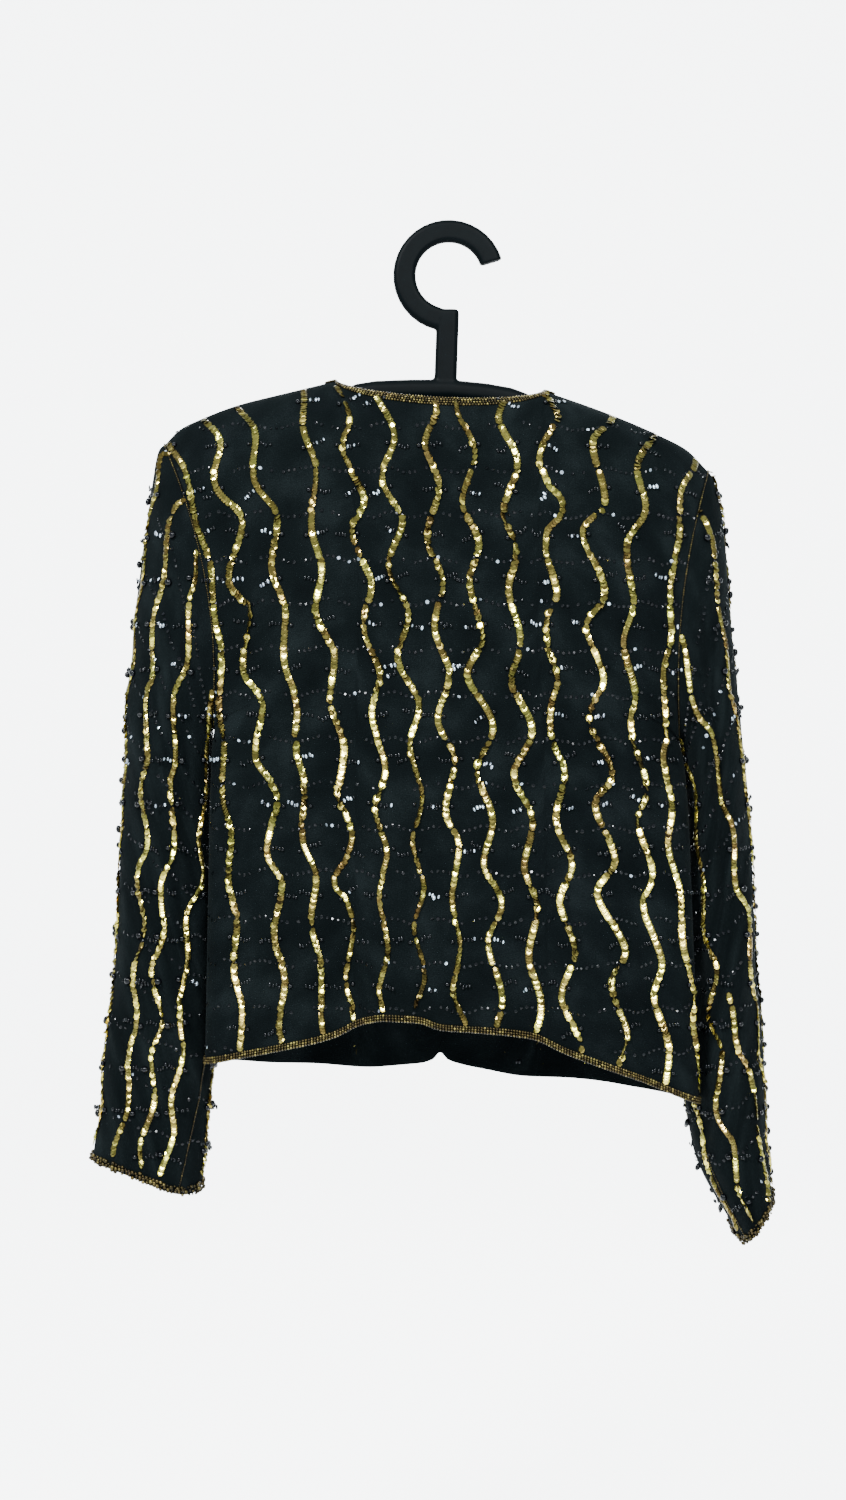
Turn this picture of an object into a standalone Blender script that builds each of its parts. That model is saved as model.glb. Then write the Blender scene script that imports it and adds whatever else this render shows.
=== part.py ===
# A short collarless evening jacket hanging on a one-piece plastic hanger, back towards -Y.
# The cloth pieces are thin shells: one back, two fronts that meet edge to edge, two sleeves.
# Raised beaded bands lie along the neck, front edges, hem and cuffs.
# Sizes below are in millimetres. The origin is where a nail or rod carries the hook.

import math
from collections import namedtuple

import bmesh
import bpy
import numpy as np

MM = 0.001

# Cloth and seams
WALL = 1.6
SEAM_GAP = 0.3
FRONT_GAP = 0.6
FRONT_GAP_AT_HEM = 1.0
BAND_CLEARANCE = 0.3
BAND_THICKNESS = 1.5
NECK_BAND = 8.0
FRONT_BAND = 6.0
HEM_BAND = 5.5

# Shoulders and neck, seen from the back
NECK_CENTRE_X = -7.0
NECK_LEFT_X, NECK_LEFT_Z = -91.0, -111.5
NECK_RIGHT_X, NECK_RIGHT_Z = 77.0, -119.5
NECK_SHARE = 0.39
BACK_NECK_DROP, BACK_NECK_DEPTH = 14.0, 28.0
FRONT_NECK_DROP, FRONT_NECK_DEPTH = 74.0, 36.0
NECK_HOLLOW_POWER = 0.6
SHOULDER_ROUNDING = 58.0

# Torso
CENTRE_FRONT_X = -6.5
BACK_POWER, FRONT_POWER = 3.0, 2.45
ARMHOLE_REACH = 1.5
TORSO_SHIFT = -6.0
TORSO_SHIFT_LENGTH = 90.0

# How finely the shells are divided
ARMHOLE_ANGLES = (0, 10, 21.5, 35, 49, 63, 77, 90, 103, 117, 131, 145, 158.5, 180)
TORSO_ROWS_BELOW = 12
NECK_COLUMNS = 6
SHOULDER_COLUMNS = 9
SLEEVE_ROWS = 20
SLEEVE_CAP_RINGS = 4
SLEEVE_CAP_ROWS = 6
# How far the columns close up towards the neck points, from 0 for even steps to 1
BACK_CROWDING, FRONT_CROWDING = 0.45, 1.0
FRONT_BAND_SHARE = FRONT_BAND / 190

Armhole = namedtuple("Armhole", "tip_x tip_z underarm_x underarm_z half_depth bow")
LEFT_ARMHOLE = Armhole(-226, -161, -187, -388, 36, 17)
RIGHT_ARMHOLE = Armhole(206, -182, 183, -398, 36, -13)

# Shoulder seams, from neck to sleeve: x, z
LEFT_SHOULDER = ((-226, -161), (-215, -150), (-199, -142), (-167, -130), (-135, -122), (-91, -111.5))
RIGHT_SHOULDER = ((77, -119.5), (105, -129), (137, -141), (169, -155), (190, -166), (206, -182))

# Side seams from underarm to hem: z, x
LEFT_SIDE = ((-655, -194), (-600, -193), (-520, -191.5), (-430, -189.8), (-405, -189), (-388, -187))
RIGHT_SIDE = ((-687, 199), (-600, 196), (-520, 193), (-440, 189.6), (-415, 187.2), (-398, 183))

# Hems: x, z
BACK_HEM = (
    (-194, -655), (-158, -647), (-124, -639), (-91, -631), (-65, -620), (-50, -617), (-25, -619),
    (-6, -625), (20, -626), (64, -632), (88, -642), (122, -655), (162, -671), (199, -687),
)
FRONT_HEM = (
    (-194, -655), (-120, -662), (-70, -665), (-24, -663), (-13, -660), (-6.5, -654),
    (0, -660), (12, -664), (40, -669), (66, -673), (122, -676), (199, -687),
)

# Half depths of the torso: z, behind the seam plane, in front of it
Depth = namedtuple("Depth", "z back front")
TORSO_DEPTHS = (
    Depth(-690, 39, 49),
    Depth(-600, 40, 50),
    Depth(-480, 40, 50),
    Depth(-380, 43, 48),
    Depth(-280, 44, 46),
    Depth(-200, 41, 43),
    Depth(-110, 38, 40),
)

# Vertical folds. A positive depth is a trough pushed into the garment, a negative one a ridge.
Fold = namedtuple("Fold", "x_start x_hem z_start width depth")
BACK_FOLDS = (
    Fold(-168, -165, -440, 15, 5.0),
    Fold(-118, -120, -470, 20, -4.0),
    Fold(-84, -74, -480, 16, 8.0),
    Fold(-44, -46, -500, 17, -5.5),
    Fold(-18, -12, -540, 15, 7.0),
    Fold(26, 28, -520, 20, -5.0),
    Fold(70, 72, -500, 17, 6.0),
    Fold(112, 112, -470, 20, -4.0),
    Fold(160, 158, -420, 16, 7.0),
)
FRONT_FOLDS = (
    Fold(-150, -150, -430, 18, 6.0),
    Fold(-100, -104, -460, 20, -4.5),
    Fold(-62, -62, -480, 17, 6.0),
    Fold(48, 50, -470, 17, 6.0),
    Fold(96, 98, -450, 20, -4.5),
    Fold(146, 150, -430, 18, 6.0),
)
FOLD_RISE = 130.0

# Sleeve sections. Each runs from the outer to the inner edge of the sleeve as seen from the back.
Ring = namedtuple("Ring", "outer_x outer_z inner_x inner_z half_depth y_centre bow")
LEFT_SLEEVE = (
    Ring(-226, -161, -187, -388, 36, 0, 17),
    Ring(-231, -166, -188.8, -389.8, 37, 0.8, 15),
    Ring(-237, -188, -190.4, -393, 39, 3, 11),
    Ring(-242, -222, -191, -400, 41, 8, 6),
    Ring(-249, -270, -191.2, -415, 43, 13, 2),
    Ring(-255, -326, -190, -445, 44, 16, 0),
    Ring(-261, -398, -189, -488, 43, 18, 0),
    Ring(-264, -468, -188.5, -538, 41, 21, 0),
    Ring(-268, -535, -189, -588, 38, 23, 0),
    Ring(-273, -600, -191, -640, 35, 25, 0),
    Ring(-279, -662, -193, -690, 31, 25, 0),
    Ring(-288, -737, -200, -756, 26, 20, 0),
)
RIGHT_SLEEVE = (
    Ring(206, -182, 183, -398, 36, 0, -13),
    Ring(211, -187, 184.8, -399.8, 37, 0.8, -11),
    Ring(218, -212, 186.6, -403, 39, 3, -8),
    Ring(222, -246, 188.4, -410, 41, 8, -4),
    Ring(226, -296, 190, -425, 43, 13, -1),
    Ring(232, -352, 191, -455, 44, 16, 0),
    Ring(240, -422, 190, -498, 44, 20, 0),
    Ring(245, -494, 190.5, -552, 44, 24, 0),
    Ring(249, -562, 192, -606, 43, 27, 0),
    Ring(254, -634, 191, -664, 43, 31, 0),
    Ring(258, -702, 200, -730, 43, 31, 0),
    Ring(262, -768, 233, -794, 44, 28, 0),
)
# The cuff's edge dips lowest at this angle, towards the end of the sleeve
CUFF_DIP = 9.0
CUFF_DIP_ANGLE, CUFF_DIP_WIDTH, CUFF_DIP_START = 130, 45, 0.85

# Sleeve folds. Angles go round the sleeve from its outer edge over the back, shares along it from 0 to 1.
SleeveFold = namedtuple("SleeveFold", "angle_top angle_end share_start share_end width depth")
LEFT_SLEEVE_FOLDS = (
    SleeveFold(120, 128, 0.25, 0.85, 18, 4.0),
    SleeveFold(300, 290, 0.20, 0.80, 20, 5.0),
)
RIGHT_SLEEVE_FOLDS = (
    SleeveFold(84, 92, 0.16, 0.80, 15, 8.0),
    SleeveFold(140, 140, 0.45, 0.95, 18, 5.0),
    SleeveFold(285, 280, 0.20, 0.85, 20, 5.0),
)
# Shallow creases across the elbows: share along the sleeve, angle over the back, slant, depth
ElbowCrease = namedtuple("ElbowCrease", "share angle slant depth")
ELBOW_CREASES = (
    ElbowCrease(0.50, 70, 0.05, 2.0),
    ElbowCrease(0.57, 110, -0.04, 2.4),
    ElbowCrease(0.64, 80, 0.05, 1.8),
)
ELBOW_CREASE_ANGLE = 55
ELBOW_CREASE_WIDTH = 0.028

# Hanger
HOOK_INNER_RADIUS = 26.5
HANGER_BAR_WIDTH = 18.0
HOOK_THICKNESS = 9.0
HOOK_TIP_ANGLE = 17.0
HOOK_END_ANGLE = 257.0
STEM_TOP_X, STEM_FOOT_X = -0.6, -2.8
STEM_TOP_Z, STEM_FOOT_Z = -53.6, -118.0
ARM_HEIGHT = 17.0
ARM_THICKNESS = 12.0
ARM_CORNER = 5.5
HOOK_CORNER = 3.2
HOOK_SECTIONS = 25
ARM_CLEARANCE = 0.6
ARM_END_SHARE = 0.93
# Top edge of the hanger between the neck points: x, z
HANGER_SADDLE = (
    (-84, -117.5), (-74, -113), (-58, -110.5), (-30, -109.5), (0, -109.5),
    (30, -112.5), (50, -116), (62, -120.5), (70, -125),
)
NECK_POINT_RELIEF = 6.0
# The stem's top sinks into the hook: how far below the top, and how wide it is there
STEM_TAPER = ((0.0, 0.8), (0.9, 0.93), (3.0, 1.0), (STEM_TOP_Z - STEM_FOOT_Z, 1.0))

CLOTH_BLACK = (0.012, 0.016, 0.017)
BAND_GOLD = (0.19, 0.12, 0.035)
HANGER_BLACK = (0.012, 0.015, 0.017)


def smooth_through(knots):
    # A smooth curve through (x, y) knots that never overshoots them
    xs = np.array([k[0] for k in knots], float)
    ys = np.array([k[1] for k in knots], float)
    steps = np.diff(xs)
    rates = np.diff(ys) / steps
    slopes = np.zeros(len(xs))
    slopes[0], slopes[-1] = rates[0], rates[-1]
    for i in range(1, len(xs) - 1):
        if rates[i - 1] * rates[i] > 0:
            ahead = 2 * steps[i] + steps[i - 1]
            behind = steps[i] + 2 * steps[i - 1]
            slopes[i] = (ahead + behind) / (ahead / rates[i - 1] + behind / rates[i])

    def value(x):
        x = np.clip(np.asarray(x, float), xs[0], xs[-1])
        i = np.clip(np.searchsorted(xs, x) - 1, 0, len(xs) - 2)
        u = (x - xs[i]) / steps[i]
        return (
            ys[i] * (1 + 2 * u) * (1 - u) ** 2
            + slopes[i] * steps[i] * u * (1 - u) ** 2
            + ys[i + 1] * u**2 * (3 - 2 * u)
            - slopes[i + 1] * steps[i] * u**2 * (1 - u)
        )

    return value


def ease(u):
    # Rises smoothly from 0 to 1
    u = np.clip(u, 0.0, 1.0)
    return u * u * (3 - 2 * u)


def unit(v):
    length = np.linalg.norm(v, axis=-1, keepdims=True)
    return v / np.maximum(length, 1e-9)


left_side = smooth_through(LEFT_SIDE)
right_side = smooth_through(RIGHT_SIDE)
back_hem = smooth_through(BACK_HEM)
front_hem = smooth_through(FRONT_HEM)
left_shoulder = smooth_through(LEFT_SHOULDER)
right_shoulder = smooth_through(RIGHT_SHOULDER)
back_depth = smooth_through([(d.z, d.back) for d in TORSO_DEPTHS])
front_depth = smooth_through([(d.z, d.front) for d in TORSO_DEPTHS])


def half_columns(first_step, crowding):
    # Shares of the half width, from the centre line to the side
    even = np.linspace(0, 1, NECK_COLUMNS + 1)
    crowded = even + (np.sin(even * math.pi / 2) - even) * crowding
    neck = first_step + (NECK_SHARE - first_step) * crowded
    if first_step > 0:
        neck = np.concatenate([[0.0], neck])
    beside_neck = NECK_SHARE + NECK_BAND / (NECK_LEFT_X - LEFT_ARMHOLE.tip_x) * (1 - NECK_SHARE)
    start = math.asin(beside_neck)
    turns = np.linspace(start, math.pi / 2, SHOULDER_COLUMNS + 1)
    return np.concatenate([neck, np.sin(turns)])


def armhole_point(armhole, angle):
    # Angle 0 is the shoulder tip and 180 the underarm; the back is at positive angles.
    a = math.radians(angle)
    reach = math.cos(a)
    x = (armhole.tip_x + armhole.underarm_x) / 2 + (armhole.tip_x - armhole.underarm_x) / 2 * reach
    z = (armhole.tip_z + armhole.underarm_z) / 2 + (armhole.tip_z - armhole.underarm_z) / 2 * reach
    x += armhole.bow * math.sin(a) ** 2
    return np.array([x, -armhole.half_depth * math.sin(a), z])


def armhole_outward(armhole):
    # Across the armhole, from the torso into the sleeve
    along = unit(np.array([armhole.tip_x - armhole.underarm_x, 0, armhole.tip_z - armhole.underarm_z]))
    side = math.copysign(1, armhole.tip_x)
    return unit(np.array([side * along[2], 0, -side * along[0]]))


def side_rows(armhole, side, hem_z):
    # The edge of a torso panel: down the armhole, then down the side seam to the hem
    points = [armhole_point(armhole, angle) for angle in ARMHOLE_ANGLES]
    band_top = hem_z + HEM_BAND
    for z in np.linspace(armhole.underarm_z, band_top, TORSO_ROWS_BELOW + 1)[1:]:
        points.append(np.array([float(side(z)), 0.0, z]))
    points.append(np.array([float(side(hem_z)), 0.0, hem_z]))
    return np.array(points)


def top_edge(shares, neck_drop, neck_depth):
    # Neckline and shoulder seams: x, z and the neckline's own distance from the seam plane
    x, z, depth = [], [], []
    for s in shares:
        if abs(s) <= NECK_SHARE + 1e-9:
            u = s / NECK_SHARE
            hollow = math.sqrt(max(0.0, 1 - u * u))
            middle = (NECK_LEFT_X + NECK_RIGHT_X) / 2
            x.append(middle + u * (NECK_RIGHT_X - NECK_LEFT_X) / 2)
            level = (NECK_LEFT_Z + NECK_RIGHT_Z) / 2 + u * (NECK_RIGHT_Z - NECK_LEFT_Z) / 2
            z.append(level - neck_drop * hollow)
            depth.append(neck_depth * hollow**NECK_HOLLOW_POWER)
            continue
        u = (abs(s) - NECK_SHARE) / (1 - NECK_SHARE)
        neck_x, tip_x = (NECK_LEFT_X, LEFT_ARMHOLE.tip_x) if s < 0 else (NECK_RIGHT_X, RIGHT_ARMHOLE.tip_x)
        x.append(neck_x + u * (tip_x - neck_x))
        z.append(float((left_shoulder if s < 0 else right_shoulder)(x[-1])))
        depth.append(0.0)
    return np.array(x), np.array(z), np.array(depth)


def torso_shift(z):
    # Below the underarm the seam plane moves towards the back, clear of the sleeves.
    return TORSO_SHIFT * ease((LEFT_ARMHOLE.underarm_z - z) / TORSO_SHIFT_LENGTH)


def fold_offset(folds, x, z, hem):
    offset = np.zeros_like(x)
    for fold in folds:
        run = np.clip((fold.z_start - z) / (fold.z_start - hem), 0, 1)
        centre = fold.x_start + (fold.x_hem - fold.x_start) * run
        strength = ease((fold.z_start - z) / FOLD_RISE)
        offset += fold.depth * strength * np.exp(-(((x - centre) / fold.width) ** 2))
    return offset


def torso_grid(is_back):
    # Points of the outer face, row by row from the shoulders to the hem, left to right
    half = half_columns(0.0, BACK_CROWDING) if is_back else half_columns(FRONT_BAND_SHARE, FRONT_CROWDING)
    shares = np.concatenate([-half[:0:-1], half])
    hem = back_hem if is_back else front_hem
    depth_at = back_depth if is_back else front_depth
    drop = BACK_NECK_DROP if is_back else FRONT_NECK_DROP
    hollow = BACK_NECK_DEPTH if is_back else FRONT_NECK_DEPTH
    outward = -1 if is_back else 1

    top_x, top_z, neck_depth = top_edge(shares, drop, hollow)
    centre = 0.0 if is_back else CENTRE_FRONT_X
    left_hem_x, right_hem_x = BACK_HEM[0][0], BACK_HEM[-1][0]
    hem_x = centre + shares * np.where(shares < 0, centre - left_hem_x, right_hem_x - centre)
    hem_z = hem(hem_x)
    left = side_rows(LEFT_ARMHOLE, left_side, float(hem_z[0]))
    right = side_rows(RIGHT_ARMHOLE, right_side, float(hem_z[-1]))

    rows, columns = len(left), len(shares)
    across = (shares + 1) / 2
    down = (left[:, 2] - left[0, 2]) / (left[-1, 2] - left[0, 2])
    grid = np.zeros((rows, columns, 3))
    for axis, top, bottom in ((0, top_x, hem_x), (2, top_z, hem_z)):
        for i in range(rows):
            straight_left = top[0] + (bottom[0] - top[0]) * down[i]
            straight_right = top[-1] + (bottom[-1] - top[-1]) * down[i]
            grid[i, :, axis] = (
                top + (bottom - top) * down[i]
                + (1 - across) * (left[i, axis] - straight_left)
                + across * (right[i, axis] - straight_right)
            )

    x, z = grid[..., 0], grid[..., 2]
    below_edge = np.clip((top_z[None, :] - z) / SHOULDER_ROUNDING, 0, 1)
    rounded = np.sqrt(1 - (1 - below_edge) ** 2)
    inside = neck_depth[None, :] + (depth_at(z) - neck_depth[None, :]) * rounded
    edge = np.where(shares[None, :] < 0, np.abs(left[:, 1])[:, None], np.abs(right[:, 1])[:, None])
    power = BACK_POWER if is_back else FRONT_POWER
    fullness = (1 - np.abs(shares) ** power) ** (1 / power)
    depth = inside * fullness[None, :] + edge * (1 - fullness[None, :]) ** ARMHOLE_REACH
    depth -= fold_offset(BACK_FOLDS if is_back else FRONT_FOLDS, x, z, hem_z[None, :]) * fullness[None, :]
    grid[..., 1] = torso_shift(z) + outward * depth

    seam_rows = len(ARMHOLE_ANGLES) - 1
    on_shoulder = np.abs(shares) >= NECK_SHARE - 1e-9
    grid[0, on_shoulder, 1] += outward * SEAM_GAP / 2
    grid[seam_rows:, 0, 1] += outward * SEAM_GAP / 2
    grid[seam_rows:, -1, 1] += outward * SEAM_GAP / 2
    for armhole, column in ((LEFT_ARMHOLE, 0), (RIGHT_ARMHOLE, -1)):
        grid[: seam_rows + 1, column] -= armhole_outward(armhole) * SEAM_GAP / 2
    return grid, shares


def grid_normals(grid, wraps=False, flip=False):
    # Unit normals from the directions along the rows and columns
    if wraps:
        along = np.roll(grid, -1, axis=1) - np.roll(grid, 1, axis=1)
    else:
        along = np.gradient(grid, axis=1)
    down = np.gradient(grid, axis=0)
    normals = unit(np.cross(along, down))
    return -normals if flip else normals


def ring_curves(ring_table):
    # One curve along the sleeve for each measure of its sections
    return [smooth_through(list(enumerate(measures))) for measures in zip(*ring_table)]


def sleeve_angles():
    # The same angles as the torso's armhole, over the back and then up the front
    back = list(ARMHOLE_ANGLES)
    front = [360 - a for a in reversed(ARMHOLE_ANGLES[1:-1])]
    return np.array(back + front)


def sleeve_positions(ring_table):
    # Shares along the sleeve, with the last step as wide as the cuff's band
    last, before = ring_table[-1], ring_table[-2]
    length = math.hypot(last.outer_x - before.outer_x, last.outer_z - before.outer_z)
    band = HEM_BAND / length / (len(ring_table) - 1)
    cap_end = SLEEVE_CAP_RINGS / (len(ring_table) - 1)
    cap = np.linspace(0, cap_end, SLEEVE_CAP_ROWS + 1)[:-1]
    below = np.linspace(cap_end, 1 - band, SLEEVE_ROWS - SLEEVE_CAP_ROWS)
    return np.concatenate([cap, below, [1.0]])


def sleeve_grid(ring_table, armhole, folds):
    angles = sleeve_angles()
    radians = np.radians(angles)
    positions = sleeve_positions(ring_table)
    curves = ring_curves(ring_table)
    dip_round = np.exp(-(((angles - CUFF_DIP_ANGLE) / CUFF_DIP_WIDTH) ** 2))
    grid = np.zeros((len(positions), len(angles), 3))
    for i, position in enumerate(positions):
        ring = Ring(*[float(curve(position * (len(ring_table) - 1))) for curve in curves])
        middle = np.array([ring.outer_x + ring.inner_x, ring.outer_z + ring.inner_z]) / 2
        reach = np.array([ring.outer_x - ring.inner_x, ring.outer_z - ring.inner_z]) / 2
        dip = CUFF_DIP * ease((position - CUFF_DIP_START) / (1 - CUFF_DIP_START)) * dip_round
        grid[i, :, 0] = middle[0] + reach[0] * np.cos(radians) + ring.bow * np.sin(radians) ** 2
        grid[i, :, 1] = ring.y_centre - ring.half_depth * np.sin(radians)
        grid[i, :, 2] = middle[1] + reach[1] * np.cos(radians) - dip
    centre = grid.mean(axis=1, keepdims=True)
    radial = unit(grid - centre)
    offset = np.zeros(grid.shape[:2])
    for fold in folds:
        run = np.clip((positions - fold.share_start) / (fold.share_end - fold.share_start), 0, 1)
        middle = fold.angle_top + (fold.angle_end - fold.angle_top) * run
        fade = np.sin(math.pi * run)[:, None] ** 0.7
        offset += fold.depth * fade * np.exp(-(((angles[None, :] - middle[:, None]) / fold.width) ** 2))
    for crease in ELBOW_CREASES:
        slanted = crease.share + crease.slant * (angles[None, :] - crease.angle) / 90
        over = np.exp(-(((angles[None, :] - crease.angle) / ELBOW_CREASE_ANGLE) ** 2))
        across = (positions[:, None] - slanted) / ELBOW_CREASE_WIDTH
        offset += crease.depth * over * np.exp(-(across**2))
    grid -= radial * offset[..., None]
    grid[0] = [armhole_point(armhole, angle) + armhole_outward(armhole) * SEAM_GAP / 2 for angle in angles]
    return grid


def inner_points(grid, normals):
    return grid - normals * WALL


def torso_normals(grid, shares, is_back):
    normals = grid_normals(grid, flip=is_back)
    seam_rows = len(ARMHOLE_ANGLES) - 1
    on_shoulder = np.abs(shares) >= NECK_SHARE - 1e-9
    normals[0, on_shoulder, 1] = 0
    normals[seam_rows:, 0, 1] = 0
    normals[seam_rows:, -1, 1] = 0
    return unit(normals)


def share_armhole_normals(torso, sleeve, sleeve_points, column):
    # Changes both sets of normals at the armhole. Where the seam is a ridge both walls end on one
    # bisecting face; in the underarm's hollow each keeps its own.
    rows = len(ARMHOLE_ANGLES)
    for is_back, normals in ((True, torso["back"]), (False, torso["front"])):
        for i in range(rows):
            j = i if is_back else (-i) % sleeve.shape[1]
            into_sleeve = unit(sleeve_points[1, j] - sleeve_points[0, j])
            ridge = np.dot(into_sleeve, -normals[i, column]) > 0
            if i in (0, rows - 1):
                normals[i, column, 1] = 0
                sleeve[0, j, 1] = 0
                normals[i, column] = unit(normals[i, column])
                sleeve[0, j] = unit(sleeve[0, j])
            if ridge:
                shared = unit(normals[i, column] + sleeve[0, j])
                normals[i, column] = shared
                if i not in (0, rows - 1) or is_back:
                    sleeve[0, j] = shared


def material(name, colour, roughness, metallic=0.0):
    made = bpy.data.materials.new(name)
    made.use_nodes = True
    shader = made.node_tree.nodes["Principled BSDF"]
    shader.inputs["Base Color"].default_value = (*colour, 1.0)
    shader.inputs["Roughness"].default_value = roughness
    shader.inputs["Metallic"].default_value = metallic
    return made


def shell(name, outer, inner, cells, wraps, finish):
    # A closed solid over some cells of a grid: outer face, inner face and the walls round its border
    columns = outer.shape[1]
    mesh = bmesh.new()
    made = {}

    def corner(layer, i, j):
        j = j % columns if wraps else j
        key = (layer, i, j)
        if key not in made:
            made[key] = mesh.verts.new((outer if layer == 0 else inner)[i, j] * MM)
        return made[key]

    border = {}
    for i, j in cells:
        for layer in (0, 1):
            a, b = corner(layer, i, j), corner(layer, i, j + 1)
            c, d = corner(layer, i + 1, j + 1), corner(layer, i + 1, j)
            for triangle in ((a, b, c), (a, c, d)):
                mesh.faces.new(triangle if layer == 0 else triangle[::-1])
        corners = [(i, j), (i, j + 1), (i + 1, j + 1), (i + 1, j)]
        for start, end in zip(corners, corners[1:] + corners[:1]):
            if wraps:
                start, end = (start[0], start[1] % columns), (end[0], end[1] % columns)
            if (end, start) in border:
                del border[(end, start)]
            else:
                border[(start, end)] = True
    for start, end in border:
        a, b = corner(0, *start), corner(0, *end)
        c, d = corner(1, *end), corner(1, *start)
        mesh.faces.new((a, d, b))
        mesh.faces.new((b, d, c))
    bmesh.ops.recalc_face_normals(mesh, faces=mesh.faces[:])
    return add_object(name, mesh, finish)


def add_object(name, mesh, finish):
    data = bpy.data.meshes.new(name)
    mesh.to_mesh(data)
    mesh.free()
    data.materials.append(finish)
    data.shade_smooth()
    data.set_sharp_from_angle(angle=math.radians(40))
    made = bpy.data.objects.new(name, data)
    bpy.context.scene.collection.objects.link(made)
    return made


def all_cells(grid, wraps=False):
    rows, columns = grid.shape[0] - 1, grid.shape[1] - (0 if wraps else 1)
    return [(i, j) for i in range(rows) for j in range(columns)]


def band(name, grid, normals, cells, wraps, finish):
    # A raised band made from the points of the panel it lies on
    low = grid + normals * BAND_CLEARANCE
    high = grid + normals * (BAND_CLEARANCE + BAND_THICKNESS)
    return shell(name, high, low, cells, wraps, finish)


def rounded_section(width, thickness, corner, per_corner=2):
    # Outline of a bar's section, as (across, through) pairs
    points = []
    for quarter, (sx, sy) in enumerate(((1, 1), (-1, 1), (-1, -1), (1, -1))):
        for k in range(per_corner + 1):
            a = math.radians(90 * (quarter + k / per_corner))
            x = sx * (width / 2 - corner) + corner * math.cos(a)
            y = sy * (thickness / 2 - corner) + corner * math.sin(a)
            points.append((x, y))
    return points


def loft(sections):
    # A closed bar through sections with the same number of points
    mesh = bmesh.new()
    rings = [[mesh.verts.new(np.array(p) * MM) for p in section] for section in sections]
    for near, far in zip(rings, rings[1:]):
        for k in range(len(near)):
            n = (k + 1) % len(near)
            mesh.faces.new((near[k], near[n], far[n], far[k]))
    mesh.faces.new(rings[0])
    mesh.faces.new(rings[-1])
    bmesh.ops.recalc_face_normals(mesh, faces=mesh.faces[:])
    return mesh


def hook_sections():
    # Round the hook from its tip, then down the stem into the arms
    radius = HOOK_INNER_RADIUS + HANGER_BAR_WIDTH / 2
    outline = rounded_section(HANGER_BAR_WIDTH, HOOK_THICKNESS, HOOK_CORNER)
    centre = np.array([0, 0, -HOOK_INNER_RADIUS])
    sections = []
    for angle in np.linspace(HOOK_TIP_ANGLE, HOOK_END_ANGLE, HOOK_SECTIONS):
        a = math.radians(angle)
        away = np.array([math.cos(a), 0, math.sin(a)])
        sections.append([centre + away * (radius + u) + np.array([0, v, 0]) for u, v in outline])
    return sections


def stem_sections():
    outline = rounded_section(HANGER_BAR_WIDTH, HOOK_THICKNESS, HOOK_CORNER)
    lean = (STEM_FOOT_X - STEM_TOP_X) / (STEM_TOP_Z - STEM_FOOT_Z)
    sections = []
    for below, spread in STEM_TAPER:
        x, z = STEM_TOP_X + lean * below, STEM_TOP_Z - below
        sections.append([np.array([x + u * spread, v * spread, z]) for u, v in outline])
    return sections


def arm_sections(back_inner, shares):
    # The arms follow the inside of the shoulder seams; between the neck points they follow the saddle.
    tops = []
    for j, s in enumerate(shares):
        if NECK_SHARE - 1e-9 <= abs(s) <= ARM_END_SHARE:
            point = back_inner[0, j]
            relief = NECK_POINT_RELIEF if abs(s) < NECK_SHARE + 1e-9 else 0.0
            tops.append((point[0], point[2] - ARM_CLEARANCE - relief))
    left = [t for t in tops if t[0] < NECK_CENTRE_X]
    right = [t for t in tops if t[0] > NECK_CENTRE_X]
    line = left + list(HANGER_SADDLE) + right
    outline = rounded_section(ARM_HEIGHT, ARM_THICKNESS, ARM_CORNER)
    sections = []
    for x, top in line:
        sections.append([np.array([x, v, top - ARM_HEIGHT / 2 + u]) for u, v in outline])
    return sections


def build_hanger(back_inner, shares, finish):
    hanger = add_object("hanger", loft(arm_sections(back_inner, shares)), finish)
    for name, sections in (("hanger_stem_join", stem_sections()), ("hanger_hook_join", hook_sections())):
        helper = add_object(name, loft(sections), finish)
        helper.hide_render = True
        helper.display_type = "WIRE"
        union = hanger.modifiers.new(name, "BOOLEAN")
        union.operation = "UNION"
        union.object = helper
        union.solver = "EXACT"


def centre_gap(grid, sign):
    # Moves a front's centre edge back from the centre line, a little more at the hem
    moved = grid.copy()
    down = np.linspace(0, 1, grid.shape[0])
    moved[:, 0 if sign > 0 else -1, 0] += sign * (FRONT_GAP / 2 + FRONT_GAP_AT_HEM * down)
    return moved


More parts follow.
